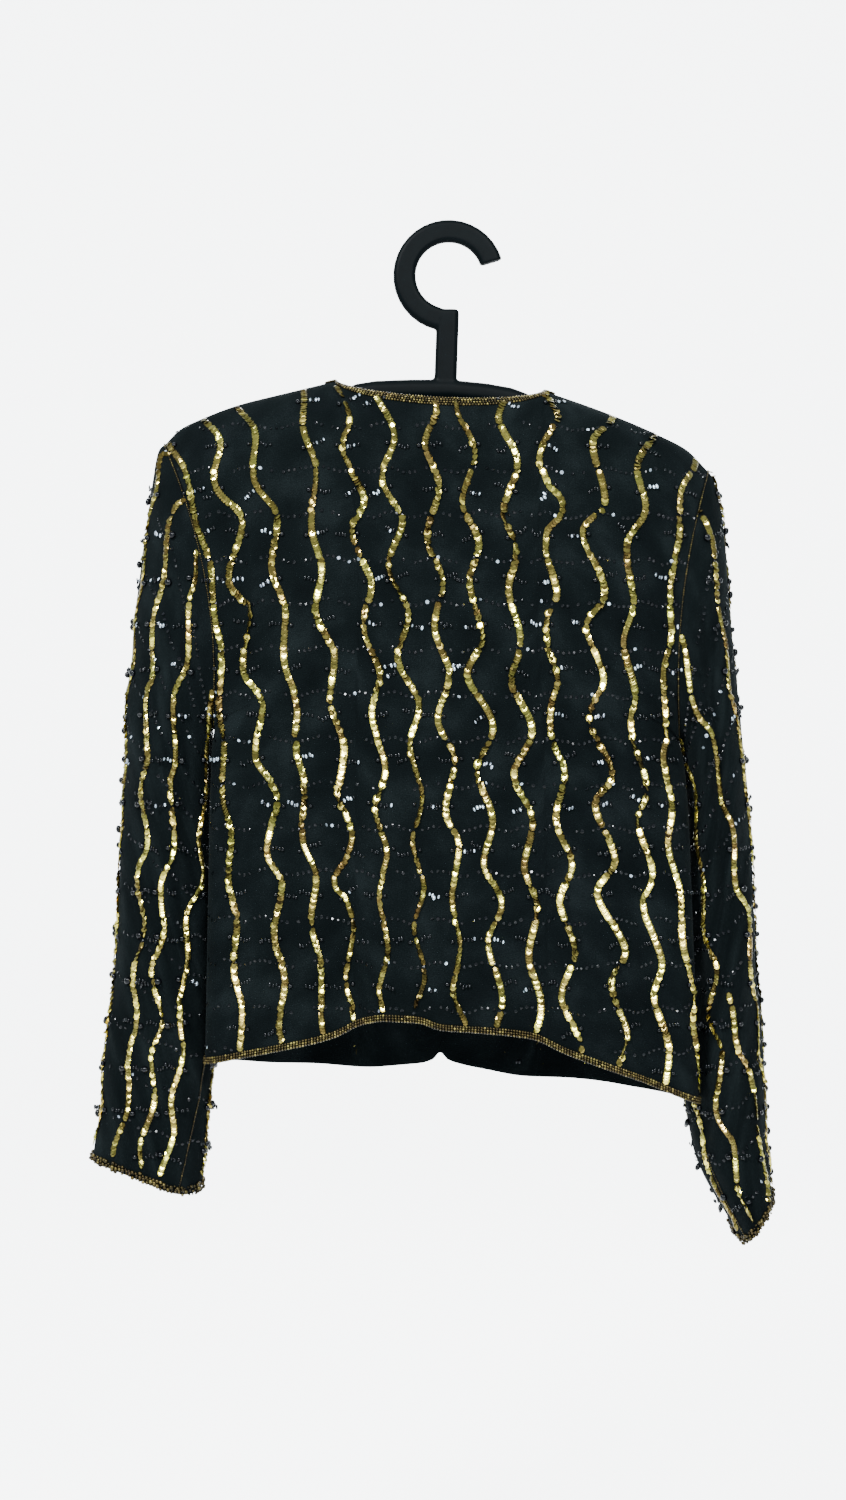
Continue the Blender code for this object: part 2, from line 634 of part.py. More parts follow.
def main():
    for old in list(bpy.data.objects):
        bpy.data.objects.remove(old)
    cloth = material("black_cloth", CLOTH_BLACK, 0.85)
    gold = material("gold_band", BAND_GOLD, 0.4, 0.7)
    plastic = material("black_plastic", HANGER_BLACK, 0.45)

    back, back_shares = torso_grid(is_back=True)
    front, front_shares = torso_grid(is_back=False)
    left = sleeve_grid(LEFT_SLEEVE, LEFT_ARMHOLE, LEFT_SLEEVE_FOLDS)
    right = sleeve_grid(RIGHT_SLEEVE, RIGHT_ARMHOLE, RIGHT_SLEEVE_FOLDS)

    torso = {
        "back": torso_normals(back, back_shares, True),
        "front": torso_normals(front, front_shares, False),
    }
    sleeves = {"left": grid_normals(left, wraps=True, flip=True), "right": grid_normals(right, wraps=True)}
    share_armhole_normals(torso, sleeves["left"], left, 0)
    share_armhole_normals(torso, sleeves["right"], right, -1)

    back_inner = inner_points(back, torso["back"])
    shell("back", back, back_inner, all_cells(back), False, cloth)

    middle = len(front_shares) // 2
    back_middle = len(back_shares) // 2
    neck_first = back_middle - NECK_COLUMNS - 1
    neck_last = back_middle + NECK_COLUMNS + 1
    hem_row = back.shape[0] - 2
    neck_cells = [(i, j) for i in (0, 1) for j in range(neck_first, neck_last)]
    band("neck_band_back", back, torso["back"], neck_cells, False, gold)
    hem_cells = [(hem_row, j) for j in range(back.shape[1] - 1)]
    band("hem_band_back", back, torso["back"], hem_cells, False, gold)

    for side, sign, span in (("left", -1, slice(0, middle + 1)), ("right", 1, slice(middle, None))):
        grid = centre_gap(front[:, span], sign)
        normals = torso["front"][:, span]
        shell("front_" + side, grid, inner_points(grid, normals), all_cells(grid), False, cloth)
        columns = grid.shape[1] - 1
        edge = columns - 1 if side == "left" else 0
        neck_span = NECK_COLUMNS + 2
        neck = range(columns - neck_span, columns) if side == "left" else range(neck_span)
        cells = {(i, j) for i in (0, 1) for j in neck}
        cells |= {(i, edge) for i in range(grid.shape[0] - 1)}
        cells |= {(hem_row, j) for j in range(columns)}
        band("edge_band_" + side, grid, normals, sorted(cells), False, gold)

    for side, grid in (("left", left), ("right", right)):
        normals = sleeves[side]
        name = "sleeve_" + side
        shell(name, grid, inner_points(grid, normals), all_cells(grid, True), True, cloth)
        cuff = [(grid.shape[0] - 2, j) for j in range(grid.shape[1])]
        band("cuff_band_" + side, grid, normals, cuff, True, gold)

    build_hanger(back_inner, back_shares, plastic)


main()
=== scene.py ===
import math

import bmesh
import bpy
import numpy as np
from mathutils import Matrix, Vector


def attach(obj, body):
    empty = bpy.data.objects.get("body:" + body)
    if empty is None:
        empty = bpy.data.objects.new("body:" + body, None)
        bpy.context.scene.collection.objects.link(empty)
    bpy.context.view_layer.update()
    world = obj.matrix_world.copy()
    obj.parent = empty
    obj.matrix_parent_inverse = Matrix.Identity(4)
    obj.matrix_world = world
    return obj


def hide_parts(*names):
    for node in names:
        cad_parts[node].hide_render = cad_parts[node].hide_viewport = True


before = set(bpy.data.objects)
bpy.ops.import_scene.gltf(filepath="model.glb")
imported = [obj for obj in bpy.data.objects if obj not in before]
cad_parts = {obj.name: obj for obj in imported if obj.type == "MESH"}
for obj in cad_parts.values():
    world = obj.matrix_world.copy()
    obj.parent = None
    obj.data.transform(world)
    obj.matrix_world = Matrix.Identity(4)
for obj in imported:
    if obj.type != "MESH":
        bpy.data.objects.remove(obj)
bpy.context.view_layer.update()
print("frame loaded")

mm = 0.001  # the tables below are in millimetres

# The jacket hangs with its back to the viewer: x to the right, y away, z up from the hook's rest.
torso = {
    "neckLeft": (-91.0, -111.5),
    "neckRight": (77.0, -119.5),
    "neckShare": 0.39,  # half the neck's width as a share of half the shoulders
    "backNeckDrop": 14.0,
    "backNeckDepth": 28.0,
    "frontNeckDrop": 74.0,
    "frontNeckDepth": 36.0,
    "shoulderRounding": 58.0,
    "centreFrontX": -6.5,  # the fronts meet edge to edge here
    "frontWidth": 190.0,
    "seamGap": 0.3,
    "backPower": 3.0,  # higher is boxier towards the side seams
    "frontPower": 2.45,
    "armholeReach": 1.5,
    "sideShift": -6.0,
    "sideShiftLength": 90.0,
    "neckBand": 8.0,
    "frontBand": 6.0,
    "hemBand": 5.5,
    "backCrowding": 0.45,  # how far the columns close up towards the neck points, 0 for even steps
    "frontCrowding": 1.0,
    "neckColumns": 6,
    "shoulderColumns": 9,
    "rowsBelow": 12,
}
armholes = {  # tip, underarm, half depth and how far the seam bows towards the spine
    "left": {"tip": (-226, -161), "underarm": (-187, -388), "halfDepth": 36, "bow": 17},
    "right": {"tip": (206, -182), "underarm": (183, -398), "halfDepth": 36, "bow": -13},
}
outline = {
    "leftShoulder": ((-226, -161), (-215, -150), (-199, -142), (-167, -130), (-135, -122), (-91, -111.5)),
    "rightShoulder": ((77, -119.5), (105, -129), (137, -141), (169, -155), (190, -166), (206, -182)),
    "leftSide": ((-655, -194), (-600, -193), (-520, -191.5), (-430, -189.8), (-405, -189), (-388, -187)),
    "rightSide": ((-687, 199), (-600, 196), (-520, 193), (-440, 189.6), (-415, 187.2), (-398, 183)),
    "backHem": (
        (-194, -655), (-158, -647), (-124, -639), (-91, -631), (-65, -620), (-50, -617), (-25, -619),
        (-6, -625), (20, -626), (64, -632), (88, -642), (122, -655), (162, -671), (199, -687),
    ),
    "frontHem": (
        (-194, -655), (-120, -662), (-70, -665), (-24, -663), (-13, -660), (-6.5, -654),
        (0, -660), (12, -664), (40, -669), (66, -673), (122, -676), (199, -687),
    ),
    "backDepth": ((-690, 39), (-600, 40), (-480, 40), (-380, 43), (-280, 44), (-200, 41), (-110, 38)),
    "frontDepth": ((-690, 49), (-600, 50), (-480, 50), (-380, 48), (-280, 46), (-200, 43), (-110, 40)),
}
# Soft vertical folds: x where they start, x at the hem, z where they start, width, depth
folds = {
    "back": (
        (-168, -165, -440, 15, 5.0), (-118, -120, -470, 20, -4.0), (-84, -74, -480, 16, 8.0),
        (-44, -46, -500, 17, -5.5), (-18, -12, -540, 15, 7.0), (26, 28, -520, 20, -5.0),
        (70, 72, -500, 17, 6.0), (112, 112, -470, 20, -4.0), (160, 158, -420, 16, 7.0),
    ),
    "front": (
        (-150, -150, -430, 18, 6.0), (-100, -104, -460, 20, -4.5), (-62, -62, -480, 17, 6.0),
        (48, 50, -470, 17, 6.0), (96, 98, -450, 20, -4.5), (146, 150, -430, 18, 6.0),
    ),
    "rise": 130.0,
}
# Creases on the torso: from x, z to x, z, then width and depth
creases = {
    "back": (
        (-176, -372, -118, -330, 9, 1.6), (-172, -396, -100, -392, 10, 1.3), (168, -380, 104, -338, 9, 1.6),
        (170, -408, 92, -404, 10, 1.2), (-196, -205, -150, -262, 9, 1.3), (182, -222, 140, -276, 9, 1.3),
        (-60, -150, 44, -154, 8, 0.9), (-90, -300, 30, -318, 13, 0.9), (20, -400, 120, -386, 12, 0.9),
        (-150, -470, -40, -486, 12, 1.0), (60, -470, 160, -498, 12, 1.0), (-130, -560, -60, -575, 11, 0.8),
    ),
    "front": (
        (-174, -372, -112, -322, 9, 1.8), (-170, -398, -98, -400, 10, 1.4), (166, -380, 100, -330, 9, 1.8),
        (168, -408, 90, -410, 10, 1.4), (-70, -220, -30, -300, 10, 1.2), (60, -220, 20, -300, 10, 1.2),
        (-140, -500, -40, -520, 12, 1.1), (40, -510, 150, -520, 12, 1.1),
    ),
}
# Sleeve sections: outer x, outer z, inner x, inner z, half depth, centre y, bow
sleeves = {
    "left": (
        (-226, -161, -187, -388, 36, 0, 17), (-231, -166, -188.8, -389.8, 37, 0.8, 15),
        (-237, -188, -190.4, -393, 39, 3, 11), (-242, -222, -189.6, -400, 41, 8, 6),
        (-249, -270, -189.4, -415, 43, 13, 2), (-255, -326, -190, -445, 44, 16, 0),
        (-261, -398, -189, -488, 43, 18, 0), (-264, -468, -188.5, -538, 41, 21, 0),
        (-268, -535, -189, -588, 38, 23, 0), (-273, -600, -191, -640, 35, 25, 0),
        (-279, -662, -193, -690, 31, 25, 0), (-288, -737, -200, -756, 26, 20, 0),
    ),
    "right": (
        (206, -182, 183, -398, 36, 0, -13), (211, -187, 184.8, -399.8, 37, 0.8, -11),
        (218, -212, 186.2, -403, 39, 3, -8), (222, -246, 187.3, -410, 41, 8, -4),
        (226, -296, 188.5, -425, 43, 13, -1), (232, -352, 191, -455, 44, 16, 0),
        (240, -422, 190, -498, 44, 20, 0), (245, -494, 190.5, -552, 44, 24, 0),
        (249, -562, 192, -606, 43, 27, 0), (254, -634, 191, -664, 43, 31, 0),
        (258, -702, 200, -730, 43, 31, 0), (262, -768, 233, -794, 44, 28, 0),
    ),
    "cuffDip": 9.0,
    "cuffDipAngle": 130,
    "cuffDipSpread": 45,
}
# Long folds on the sleeves: angle at the top and at the end, share of the length from and to, width, depth
sleeveFolds = {
    "left": ((120, 128, 0.25, 0.85, 18, 4.0), (300, 290, 0.20, 0.80, 20, 5.0)),
    "right": (
        (84, 92, 0.16, 0.80, 15, 8.0), (140, 140, 0.45, 0.95, 18, 5.0), (285, 280, 0.20, 0.85, 20, 5.0),
    ),
}
# Creases across the sleeves: share of the length, angle, slant, reach round the arm, width, depth
sleeveCreases = (
    (0.50, 70, 0.05, 55, 0.028, 2.0), (0.57, 110, -0.04, 55, 0.028, 2.4), (0.64, 80, 0.05, 55, 0.028, 1.8),
    (0.30, 150, 0.07, 34, 0.020, 1.5), (0.37, 205, 0.05, 40, 0.022, 1.6), (0.44, 40, -0.05, 36, 0.018, 1.3),
    (0.71, 130, -0.05, 40, 0.018, 1.3), (0.78, 60, 0.05, 42, 0.016, 1.2), (0.53, 250, 0.04, 50, 0.024, 2.0),
    (0.62, 300, -0.05, 45, 0.022, 1.7), (0.86, 100, 0.03, 46, 0.014, 1.0),
)


def smoothThrough(knots):  # a smooth curve through x, y knots that never overshoots them
    xs = np.array([k[0] for k in knots], float)
    ys = np.array([k[1] for k in knots], float)
    steps = np.diff(xs)
    rates = np.diff(ys) / steps
    slopes = np.zeros(len(xs))
    slopes[0], slopes[-1] = rates[0], rates[-1]
    for i in range(1, len(xs) - 1):
        if rates[i - 1] * rates[i] > 0:
            ahead = 2 * steps[i] + steps[i - 1]
            behind = steps[i] + 2 * steps[i - 1]
            slopes[i] = (ahead + behind) / (ahead / rates[i - 1] + behind / rates[i])

    def value(x):
        x = np.clip(np.asarray(x, float), xs[0], xs[-1])
        i = np.clip(np.searchsorted(xs, x) - 1, 0, len(xs) - 2)
        u = (x - xs[i]) / steps[i]
        return (
            ys[i] * (1 + 2 * u) * (1 - u) ** 2
            + slopes[i] * steps[i] * u * (1 - u) ** 2
            + ys[i + 1] * u**2 * (3 - 2 * u)
            - slopes[i + 1] * steps[i] * u**2 * (1 - u)
        )

    return value


def ease(u):
    u = np.clip(u, 0.0, 1.0)
    return u * u * (3 - 2 * u)


def unit(v):
    return v / np.maximum(np.linalg.norm(v, axis=-1, keepdims=True), 1e-9)


def finer(values, parts):  # the same stations with each step cut into equal parts
    values = np.asarray(values, float)
    stations = np.arange((len(values) - 1) * parts + 1) / parts
    return np.interp(stations, np.arange(len(values)), values)


curves = {name: smoothThrough(knots) for name, knots in outline.items()}
armholeAngles = (0, 10, 21.5, 35, 49, 63, 77, 90, 103, 117, 131, 145, 158.5, 180)


def armholePoint(hole, angle):  # 0 is the shoulder tip, 90 the middle of the back edge, 180 the underarm
    a = math.radians(angle)
    tip, under = np.array(hole["tip"], float), np.array(hole["underarm"], float)
    x, z = (tip + under) / 2 + (tip - under) / 2 * math.cos(a)
    return np.array([x + hole["bow"] * math.sin(a) ** 2, -hole["halfDepth"] * math.sin(a), z])


def armholeOutward(hole):
    tip, under = np.array(hole["tip"], float), np.array(hole["underarm"], float)
    along = (tip - under) / np.linalg.norm(tip - under)
    side = math.copysign(1, tip[0])
    return np.array([side * along[1], 0, -side * along[0]])


def creaseProfile(across):  # a groove with a lower ridge along one side
    return np.exp(-(across**2)) - 0.5 * np.exp(-((across - 1.7) ** 2))


def creaseOffset(lines, x, z):
    offset = np.zeros_like(x)
    for x0, z0, x1, z1, width, depth in lines:
        length = math.hypot(x1 - x0, z1 - z0)
        ux, uz = (x1 - x0) / length, (z1 - z0) / length
        along = ((x - x0) * ux + (z - z0) * uz) / length
        across = -(x - x0) * uz + (z - z0) * ux + 5 * np.sin(along * 3.1)
        fade = np.sin(np.clip(along, 0, 1) * math.pi) ** 0.8
        offset += depth * fade * creaseProfile(across / width)
    return offset


def foldOffset(lines, x, z, hem):
    offset = np.zeros_like(x)
    for xStart, xHem, zStart, width, depth in lines:
        run = np.clip((zStart - z) / (zStart - hem), 0, 1)
        strength = ease((zStart - z) / folds["rise"])
        offset += depth * strength * np.exp(-(((x - xStart - (xHem - xStart) * run) / width) ** 2))
    return offset


def softWaves(x, z, seed):  # the slight unevenness of cloth that carries rows of sequins
    rng = np.random.default_rng(seed)
    offset = np.zeros_like(x)
    for wavelength, height in ((95, 0.9), (60, 0.6), (36, 0.42), (24, 0.25)):
        for turn in rng.uniform(0, math.pi, 3):
            phase = rng.uniform(0, 6.28)
            along = x * math.cos(turn) + z * math.sin(turn)
            offset += height / 2 * np.sin(along * 6.283 / wavelength + phase)
    return offset


def columnShares(part, detail):
    # Where the columns stand between the side seams, from -1 at the left one to 1 at the right one
    neckShare = torso["neckShare"]
    firstStep = 0.0 if part == "back" else torso["frontBand"] / torso["frontWidth"]
    even = np.linspace(0, 1, torso["neckColumns"] + 1)
    crowded = even + (np.sin(even * math.pi / 2) - even) * torso[part + "Crowding"]
    neck = firstStep + (neckShare - firstStep) * crowded
    half = neck if part == "back" else np.concatenate([[0.0], neck])
    tipX = armholes["left"]["tip"][0]
    beside = neckShare + torso["neckBand"] / (torso["neckLeft"][0] - tipX) * (1 - neckShare)
    shoulder = np.sin(np.linspace(math.asin(beside), math.pi / 2, torso["shoulderColumns"] + 1))
    half = np.concatenate([half, shoulder])
    return finer(np.concatenate([-half[:0:-1], half]), detail)


def topEdge(part, shares):  # the neck curve and both shoulder seams: x, z, and depth of the neck
    neckShare = torso["neckShare"]
    (leftX, leftZ), (rightX, rightZ) = torso["neckLeft"], torso["neckRight"]
    u = np.clip(shares / neckShare, -1, 1)
    hollow = np.sqrt(np.maximum(0, 1 - u * u))
    topX = (leftX + rightX) / 2 + u * (rightX - leftX) / 2
    topZ = (leftZ + rightZ) / 2 + u * (rightZ - leftZ) / 2 - torso[part + "NeckDrop"] * hollow
    neckDepth = torso[part + "NeckDepth"] * hollow**0.6
    beyond = (np.abs(shares) - neckShare) / (1 - neckShare)
    for name, neckX, chosen in (("left", leftX, shares < -neckShare), ("right", rightX, shares > neckShare)):
        topX[chosen] = neckX + beyond[chosen] * (armholes[name]["tip"][0] - neckX)
        topZ[chosen] = curves[name + "Shoulder"](topX[chosen])
    return topX, topZ, neckDepth


def sideEdge(name, hemZ, detail):  # down one side: the armhole seam, then the side seam to the hem
    hole = armholes[name]
    points = [armholePoint(hole, angle) for angle in finer(armholeAngles, detail)]
    levels = np.linspace(hole["underarm"][1], hemZ + torso["hemBand"], torso["rowsBelow"] + 1)
    levels = finer(levels, detail + 2)[1:]
    levels = np.concatenate([levels, finer([levels[-1], hemZ], detail)[1:]])
    points += [np.array([float(curves[name + "Side"](z)), 0.0, z]) for z in levels]
    return np.array(points)


def torsoSurface(part, detail):
    shares = columnShares(part, detail)
    topX, topZ, neckDepth = topEdge(part, shares)
    centre = 0.0 if part == "back" else torso["centreFrontX"]
    leftHemX, rightHemX = outline["leftSide"][0][1], outline["rightSide"][0][1]
    hemX = centre + shares * np.where(shares < 0, centre - leftHemX, rightHemX - centre)
    hemZ = curves[part + "Hem"](hemX)
    left, right = sideEdge("left", hemZ[0], detail), sideEdge("right", hemZ[-1], detail)

    across = (shares + 1) / 2
    down = (left[:, 2] - left[0, 2]) / (left[-1, 2] - left[0, 2])
    grid = np.zeros((len(left), len(shares), 3))
    for axis, top, bottom in ((0, topX, hemX), (2, topZ, hemZ)):
        straight = top[None, :] + (bottom - top)[None, :] * down[:, None]
        leftOff = (left[:, axis] - straight[:, 0])[:, None] * (1 - across)[None, :]
        rightOff = (right[:, axis] - straight[:, -1])[:, None] * across[None, :]
        grid[..., axis] = straight + leftOff + rightOff

    x, z = grid[..., 0], grid[..., 2]
    below = np.clip((topZ[None, :] - z) / torso["shoulderRounding"], 0, 1)
    depthHere = curves[part + "Depth"](z)
    inside = neckDepth[None, :] + (depthHere - neckDepth[None, :]) * np.sqrt(1 - (1 - below) ** 2)
    edge = np.where(shares[None, :] < 0, np.abs(left[:, 1])[:, None], np.abs(right[:, 1])[:, None])
    power = torso[part + "Power"]
    full = ((1 - np.abs(shares) ** power) ** (1 / power))[None, :]
    depth = inside * full + edge * (1 - full) ** torso["armholeReach"]
    depth -= foldOffset(folds[part], x, z, hemZ[None, :]) * full
    inner = full * ease(below * 1.6) * ease((1 - down) * 40)[:, None]
    waves = softWaves(x, z, 3 if part == "back" else 4)
    depth -= (creaseOffset(creases[part], x, z) + waves) * inner
    shift = torso["sideShift"] * ease((armholes["left"]["underarm"][1] - z) / torso["sideShiftLength"])
    outward = -1 if part == "back" else 1
    grid[..., 1] = shift + outward * depth

    gap, seamRow = torso["seamGap"] / 2, (len(armholeAngles) - 1) * detail
    grid[0, np.abs(shares) >= torso["neckShare"] - 1e-9, 1] += outward * gap
    for name, column in (("left", 0), ("right", -1)):
        grid[seamRow:, column, 1] += outward * gap
        grid[: seamRow + 1, column] -= armholeOutward(armholes[name]) * gap
    return {"points": grid * mm, "shares": shares, "down": down, "wraps": False, "flip": part == "front"}


def sleeveSurface(side, detail):
    table = np.array(sleeves[side], float)
    ringCurves = [smoothThrough(list(enumerate(column))) for column in table.T]
    fullTurn = [*armholeAngles, *(360 - angle for angle in armholeAngles[-2::-1])]
    angles = finer(fullTurn, detail)  # the last angle is the first one again, at 360
    last = len(table) - 1
    places = finer([*np.linspace(0, 4, 7)[:-1], *np.linspace(4, last, 15)], detail + 2)  # closer in the cap
    share = places / last
    a = np.radians(angles)
    outerX, outerZ, innerX, innerZ, halfDepth, centreY, bow = [c(places)[:, None] for c in ringCurves]
    aside = (angles - sleeves["cuffDipAngle"]) / sleeves["cuffDipSpread"]
    dip = sleeves["cuffDip"] * ease((share - 0.85) / 0.15)[:, None] * np.exp(-(aside**2))[None, :]
    grid = np.zeros((len(places), len(angles), 3))
    grid[..., 0] = (outerX + innerX) / 2 + (outerX - innerX) / 2 * np.cos(a) + bow * np.sin(a) ** 2
    grid[..., 1] = centreY - halfDepth * np.sin(a)
    grid[..., 2] = (outerZ + innerZ) / 2 + (outerZ - innerZ) / 2 * np.cos(a) - dip
    radial = unit(grid - grid[:, :-1].mean(axis=1, keepdims=True))
    offset = np.zeros(grid.shape[:2])
    for angleTop, angleEnd, shareFrom, shareTo, width, depth in sleeveFolds[side]:
        run = np.clip((share - shareFrom) / (shareTo - shareFrom), 0, 1)
        middle = angleTop + (angleEnd - angleTop) * run
        swell = (np.sin(math.pi * run) ** 0.7)[:, None]
        offset += depth * swell * np.exp(-(((angles - middle[:, None]) / width) ** 2))
    for place, angle, slant, reach, width, depth in sleeveCreases:
        turn = (angles - angle + 180) % 360 - 180
        line = place + slant * turn / 90
        across = (share[:, None] - line[None, :]) / width
        offset += depth * np.exp(-((turn / reach) ** 2))[None, :] * creaseProfile(across)
    ends = ease(share * 9)[:, None] * ease((1 - share) * 30)[:, None]
    aroundArm = np.tile(70 * np.cos(a), (len(places), 1))
    wave = softWaves(aroundArm, grid[..., 2] + 60 * np.sin(a)[None, :], 5)
    grid -= radial * ((offset + wave) * ends)[..., None]
    hole = armholes[side]
    grid[0] = [armholePoint(hole, angle) + armholeOutward(hole) * torso["seamGap"] / 2 for angle in angles]
    grid[:, -1] = grid[:, 0]
    return {"points": grid * mm, "angles": angles, "down": share, "wraps": True, "flip": side == "right"}


def addNormals(surface):  # outward directions, from the steps along the rows and columns
    grid = surface["points"]
    along = np.gradient(grid, axis=1)
    if surface["wraps"]:
        along[:, 0] = along[:, -1] = grid[:, 1] - grid[:, -2]
    normals = unit(np.cross(along, np.gradient(grid, axis=0)))
    surface["normals"] = normals if surface["flip"] else -normals
    steps = np.linalg.norm(np.diff(grid, axis=0), axis=2)
    surface["fromTop"] = np.vstack([np.zeros(grid.shape[1]), np.cumsum(steps, axis=0)])
    steps = np.linalg.norm(np.diff(grid, axis=1), axis=2)
    surface["fromFirst"] = np.hstack([np.zeros((grid.shape[0], 1)), np.cumsum(steps, axis=1)])
    return surface


def columnsOf(surface, first, last):  # a strip of a surface between two columns
    part = dict(surface)
    part["points"] = surface["points"][:, first : last + 1].copy()
    part["shares"] = surface["shares"][first : last + 1]
    return part


def newObject(name, mesh, finish):
    thing = bpy.data.objects.new(name, mesh)
    bpy.context.scene.collection.objects.link(thing)
    mesh.materials.append(finish)
    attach(thing, "root")
    return thing


clothSettings = {"thickness": 0.0009, "detail": 4}


def clothPiece(name, surface, finish):
    grid = surface["points"]
    rows, columns = grid.shape[:2]
    shape = bmesh.new()
    bmesh.ops.create_grid(shape, x_segments=columns - 1, y_segments=rows - 1, size=0.5)
    flatMap = shape.loops.layers.uv.new("clothMap")
    middle = surface["fromFirst"][:, columns // 2]
    spots = {}
    for vert in shape.verts:
        spots[vert] = round((0.5 - vert.co.y) * (rows - 1)), round((vert.co.x + 0.5) * (columns - 1))
    for face in shape.faces:
        for loop in face.loops:
            i, j = spots[loop.vert]
            loop[flatMap].uv = (surface["fromFirst"][i, j] - middle[i], -surface["fromTop"][i, j])
    for vert, (i, j) in spots.items():
        vert.co = Vector(grid[i, j])
    if surface["wraps"]:
        bmesh.ops.remove_doubles(shape, verts=shape.verts, dist=1e-6)
    if surface["flip"]:
        bmesh.ops.reverse_faces(shape, faces=shape.faces)
    for face in shape.faces:
        face.smooth = True
    mesh = bpy.data.meshes.new(name)
    shape.to_mesh(mesh)
    shape.free()
    piece = newObject(name, mesh, finish)
    wall = piece.modifiers.new("wall", "SOLIDIFY")
    wall.thickness = clothSettings["thickness"]
    wall.offset = -1
    return piece


def sample(surface, rows, columns):  # place and outward direction at fractional rows and columns
    rowCount, columnCount = surface["points"].shape[:2]
    rows = np.clip(rows, 0, rowCount - 1.0001)
    if surface["wraps"]:
        columns = np.mod(columns, columnCount - 1)
    columns = np.clip(columns, 0, columnCount - 1.0001)
    i, j = rows.astype(int), columns.astype(int)
    u, v = (rows - i)[:, None], (columns - j)[:, None]

    def between(grid):
        before = grid[i, j] * (1 - u) + grid[i + 1, j] * u
        after = grid[i, j + 1] * (1 - u) + grid[i + 1, j + 1] * u
        return before * (1 - v) + after * v

    return between(surface["points"]), unit(between(surface["normals"]))


def evenPath(surface, rows, columns, pitch):
    # Evenly spaced places along a path given by fractional rows and columns, with their directions
    points, normals = sample(surface, rows, columns)
    reach = np.concatenate([[0], np.cumsum(np.linalg.norm(np.diff(points, axis=0), axis=1))])
    count = max(2, int(reach[-1] / pitch))
    at = (np.arange(count) + 0.5) * reach[-1] / count
    place = np.stack([np.interp(at, reach, points[:, k]) for k in range(3)], 1)
    out = unit(np.stack([np.interp(at, reach, normals[:, k]) for k in range(3)], 1))
    ahead = unit(np.gradient(place, axis=0))
    ahead = unit(ahead - out * np.sum(ahead * out, axis=1, keepdims=True))
    return {"place": place, "out": out, "ahead": ahead}


def rowAtDistance(surface, columns, distance, fromHem=False):  # fractional row at a distance in from the edge
    lengths = surface["fromTop"]
    index = np.arange(lengths.shape[0])
    rows = []
    for j in range(lengths.shape[1]):
        wanted = lengths[-1, j] - distance if fromHem else distance
        rows.append(np.interp(wanted, lengths[:, j], index))
    return np.interp(columns, np.arange(lengths.shape[1]), rows)


def smallShape(kind):  # vertices and triangles of one sequin or bead, a unit across
    shape = bmesh.new()
    if kind == "sequin":
        bmesh.ops.create_cone(shape, cap_ends=True, segments=7, radius1=0.5, radius2=0.3, depth=0.12)
    elif kind == "bead":
        bmesh.ops.create_uvsphere(shape, u_segments=6, v_segments=3, radius=0.5)
        lying = Matrix.Rotation(math.pi / 2, 3, "Y")
        bmesh.ops.rotate(shape, verts=shape.verts, cent=(0, 0, 0), matrix=lying)
    else:
        bmesh.ops.create_uvsphere(shape, u_segments=8, v_segments=5, radius=0.5)
    bmesh.ops.triangulate(shape, faces=shape.faces[:])
    shape.verts.index_update()
    points = np.array([v.co[:] for v in shape.verts])
    faces = np.array([[v.index for v in f.verts] for f in shape.faces])
    shape.free()
    return points, faces


def scatter(name, kind, placed, finish):
    # One joined mesh of many small shapes; each has a place, three directions, a size and a tone
    points, faces = smallShape(kind)
    count = len(placed["place"])
    corner = placed["place"][:, None, :] + sum(
        placed[axis][:, None, :] * (points[None, :, k, None] * placed["size"][:, None, k, None])
        for k, axis in enumerate(("ahead", "side", "out"))
    )
    allFaces = faces[None] + (np.arange(count) * len(points))[:, None, None]
    mesh = bpy.data.meshes.new(name)
    mesh.from_pydata(corner.reshape(-1, 3), [], allFaces.reshape(-1, 3))
    tone = mesh.attributes.new("tone", "FLOAT", "FACE")
    tone.data.foreach_set("value", np.repeat(placed["tone"], len(faces)).astype(np.float32))
    if kind != "sequin":
        mesh.shade_smooth()
    mesh.update()
    return newObject(name, mesh, finish)


def turned(path, tilt, roll):
    # Directions of small pieces that lie along a path, tipped forward and rolled sideways, in degrees
    tilt, roll = np.radians(tilt)[:, None], np.radians(roll)[:, None]
    side = np.cross(path["out"], path["ahead"])
    ahead = path["ahead"] * np.cos(tilt) + path["out"] * np.sin(tilt)
    out = path["out"] * np.cos(tilt) - path["ahead"] * np.sin(tilt)
    rolledSide = side * np.cos(roll) + out * np.sin(roll)
    rolledOut = out * np.cos(roll) - side * np.sin(roll)
    return {"ahead": ahead, "side": rolledSide, "out": rolledOut}


def joinPlaced(parts):
    return {key: np.concatenate([p[key] for p in parts]) for key in parts[0]}


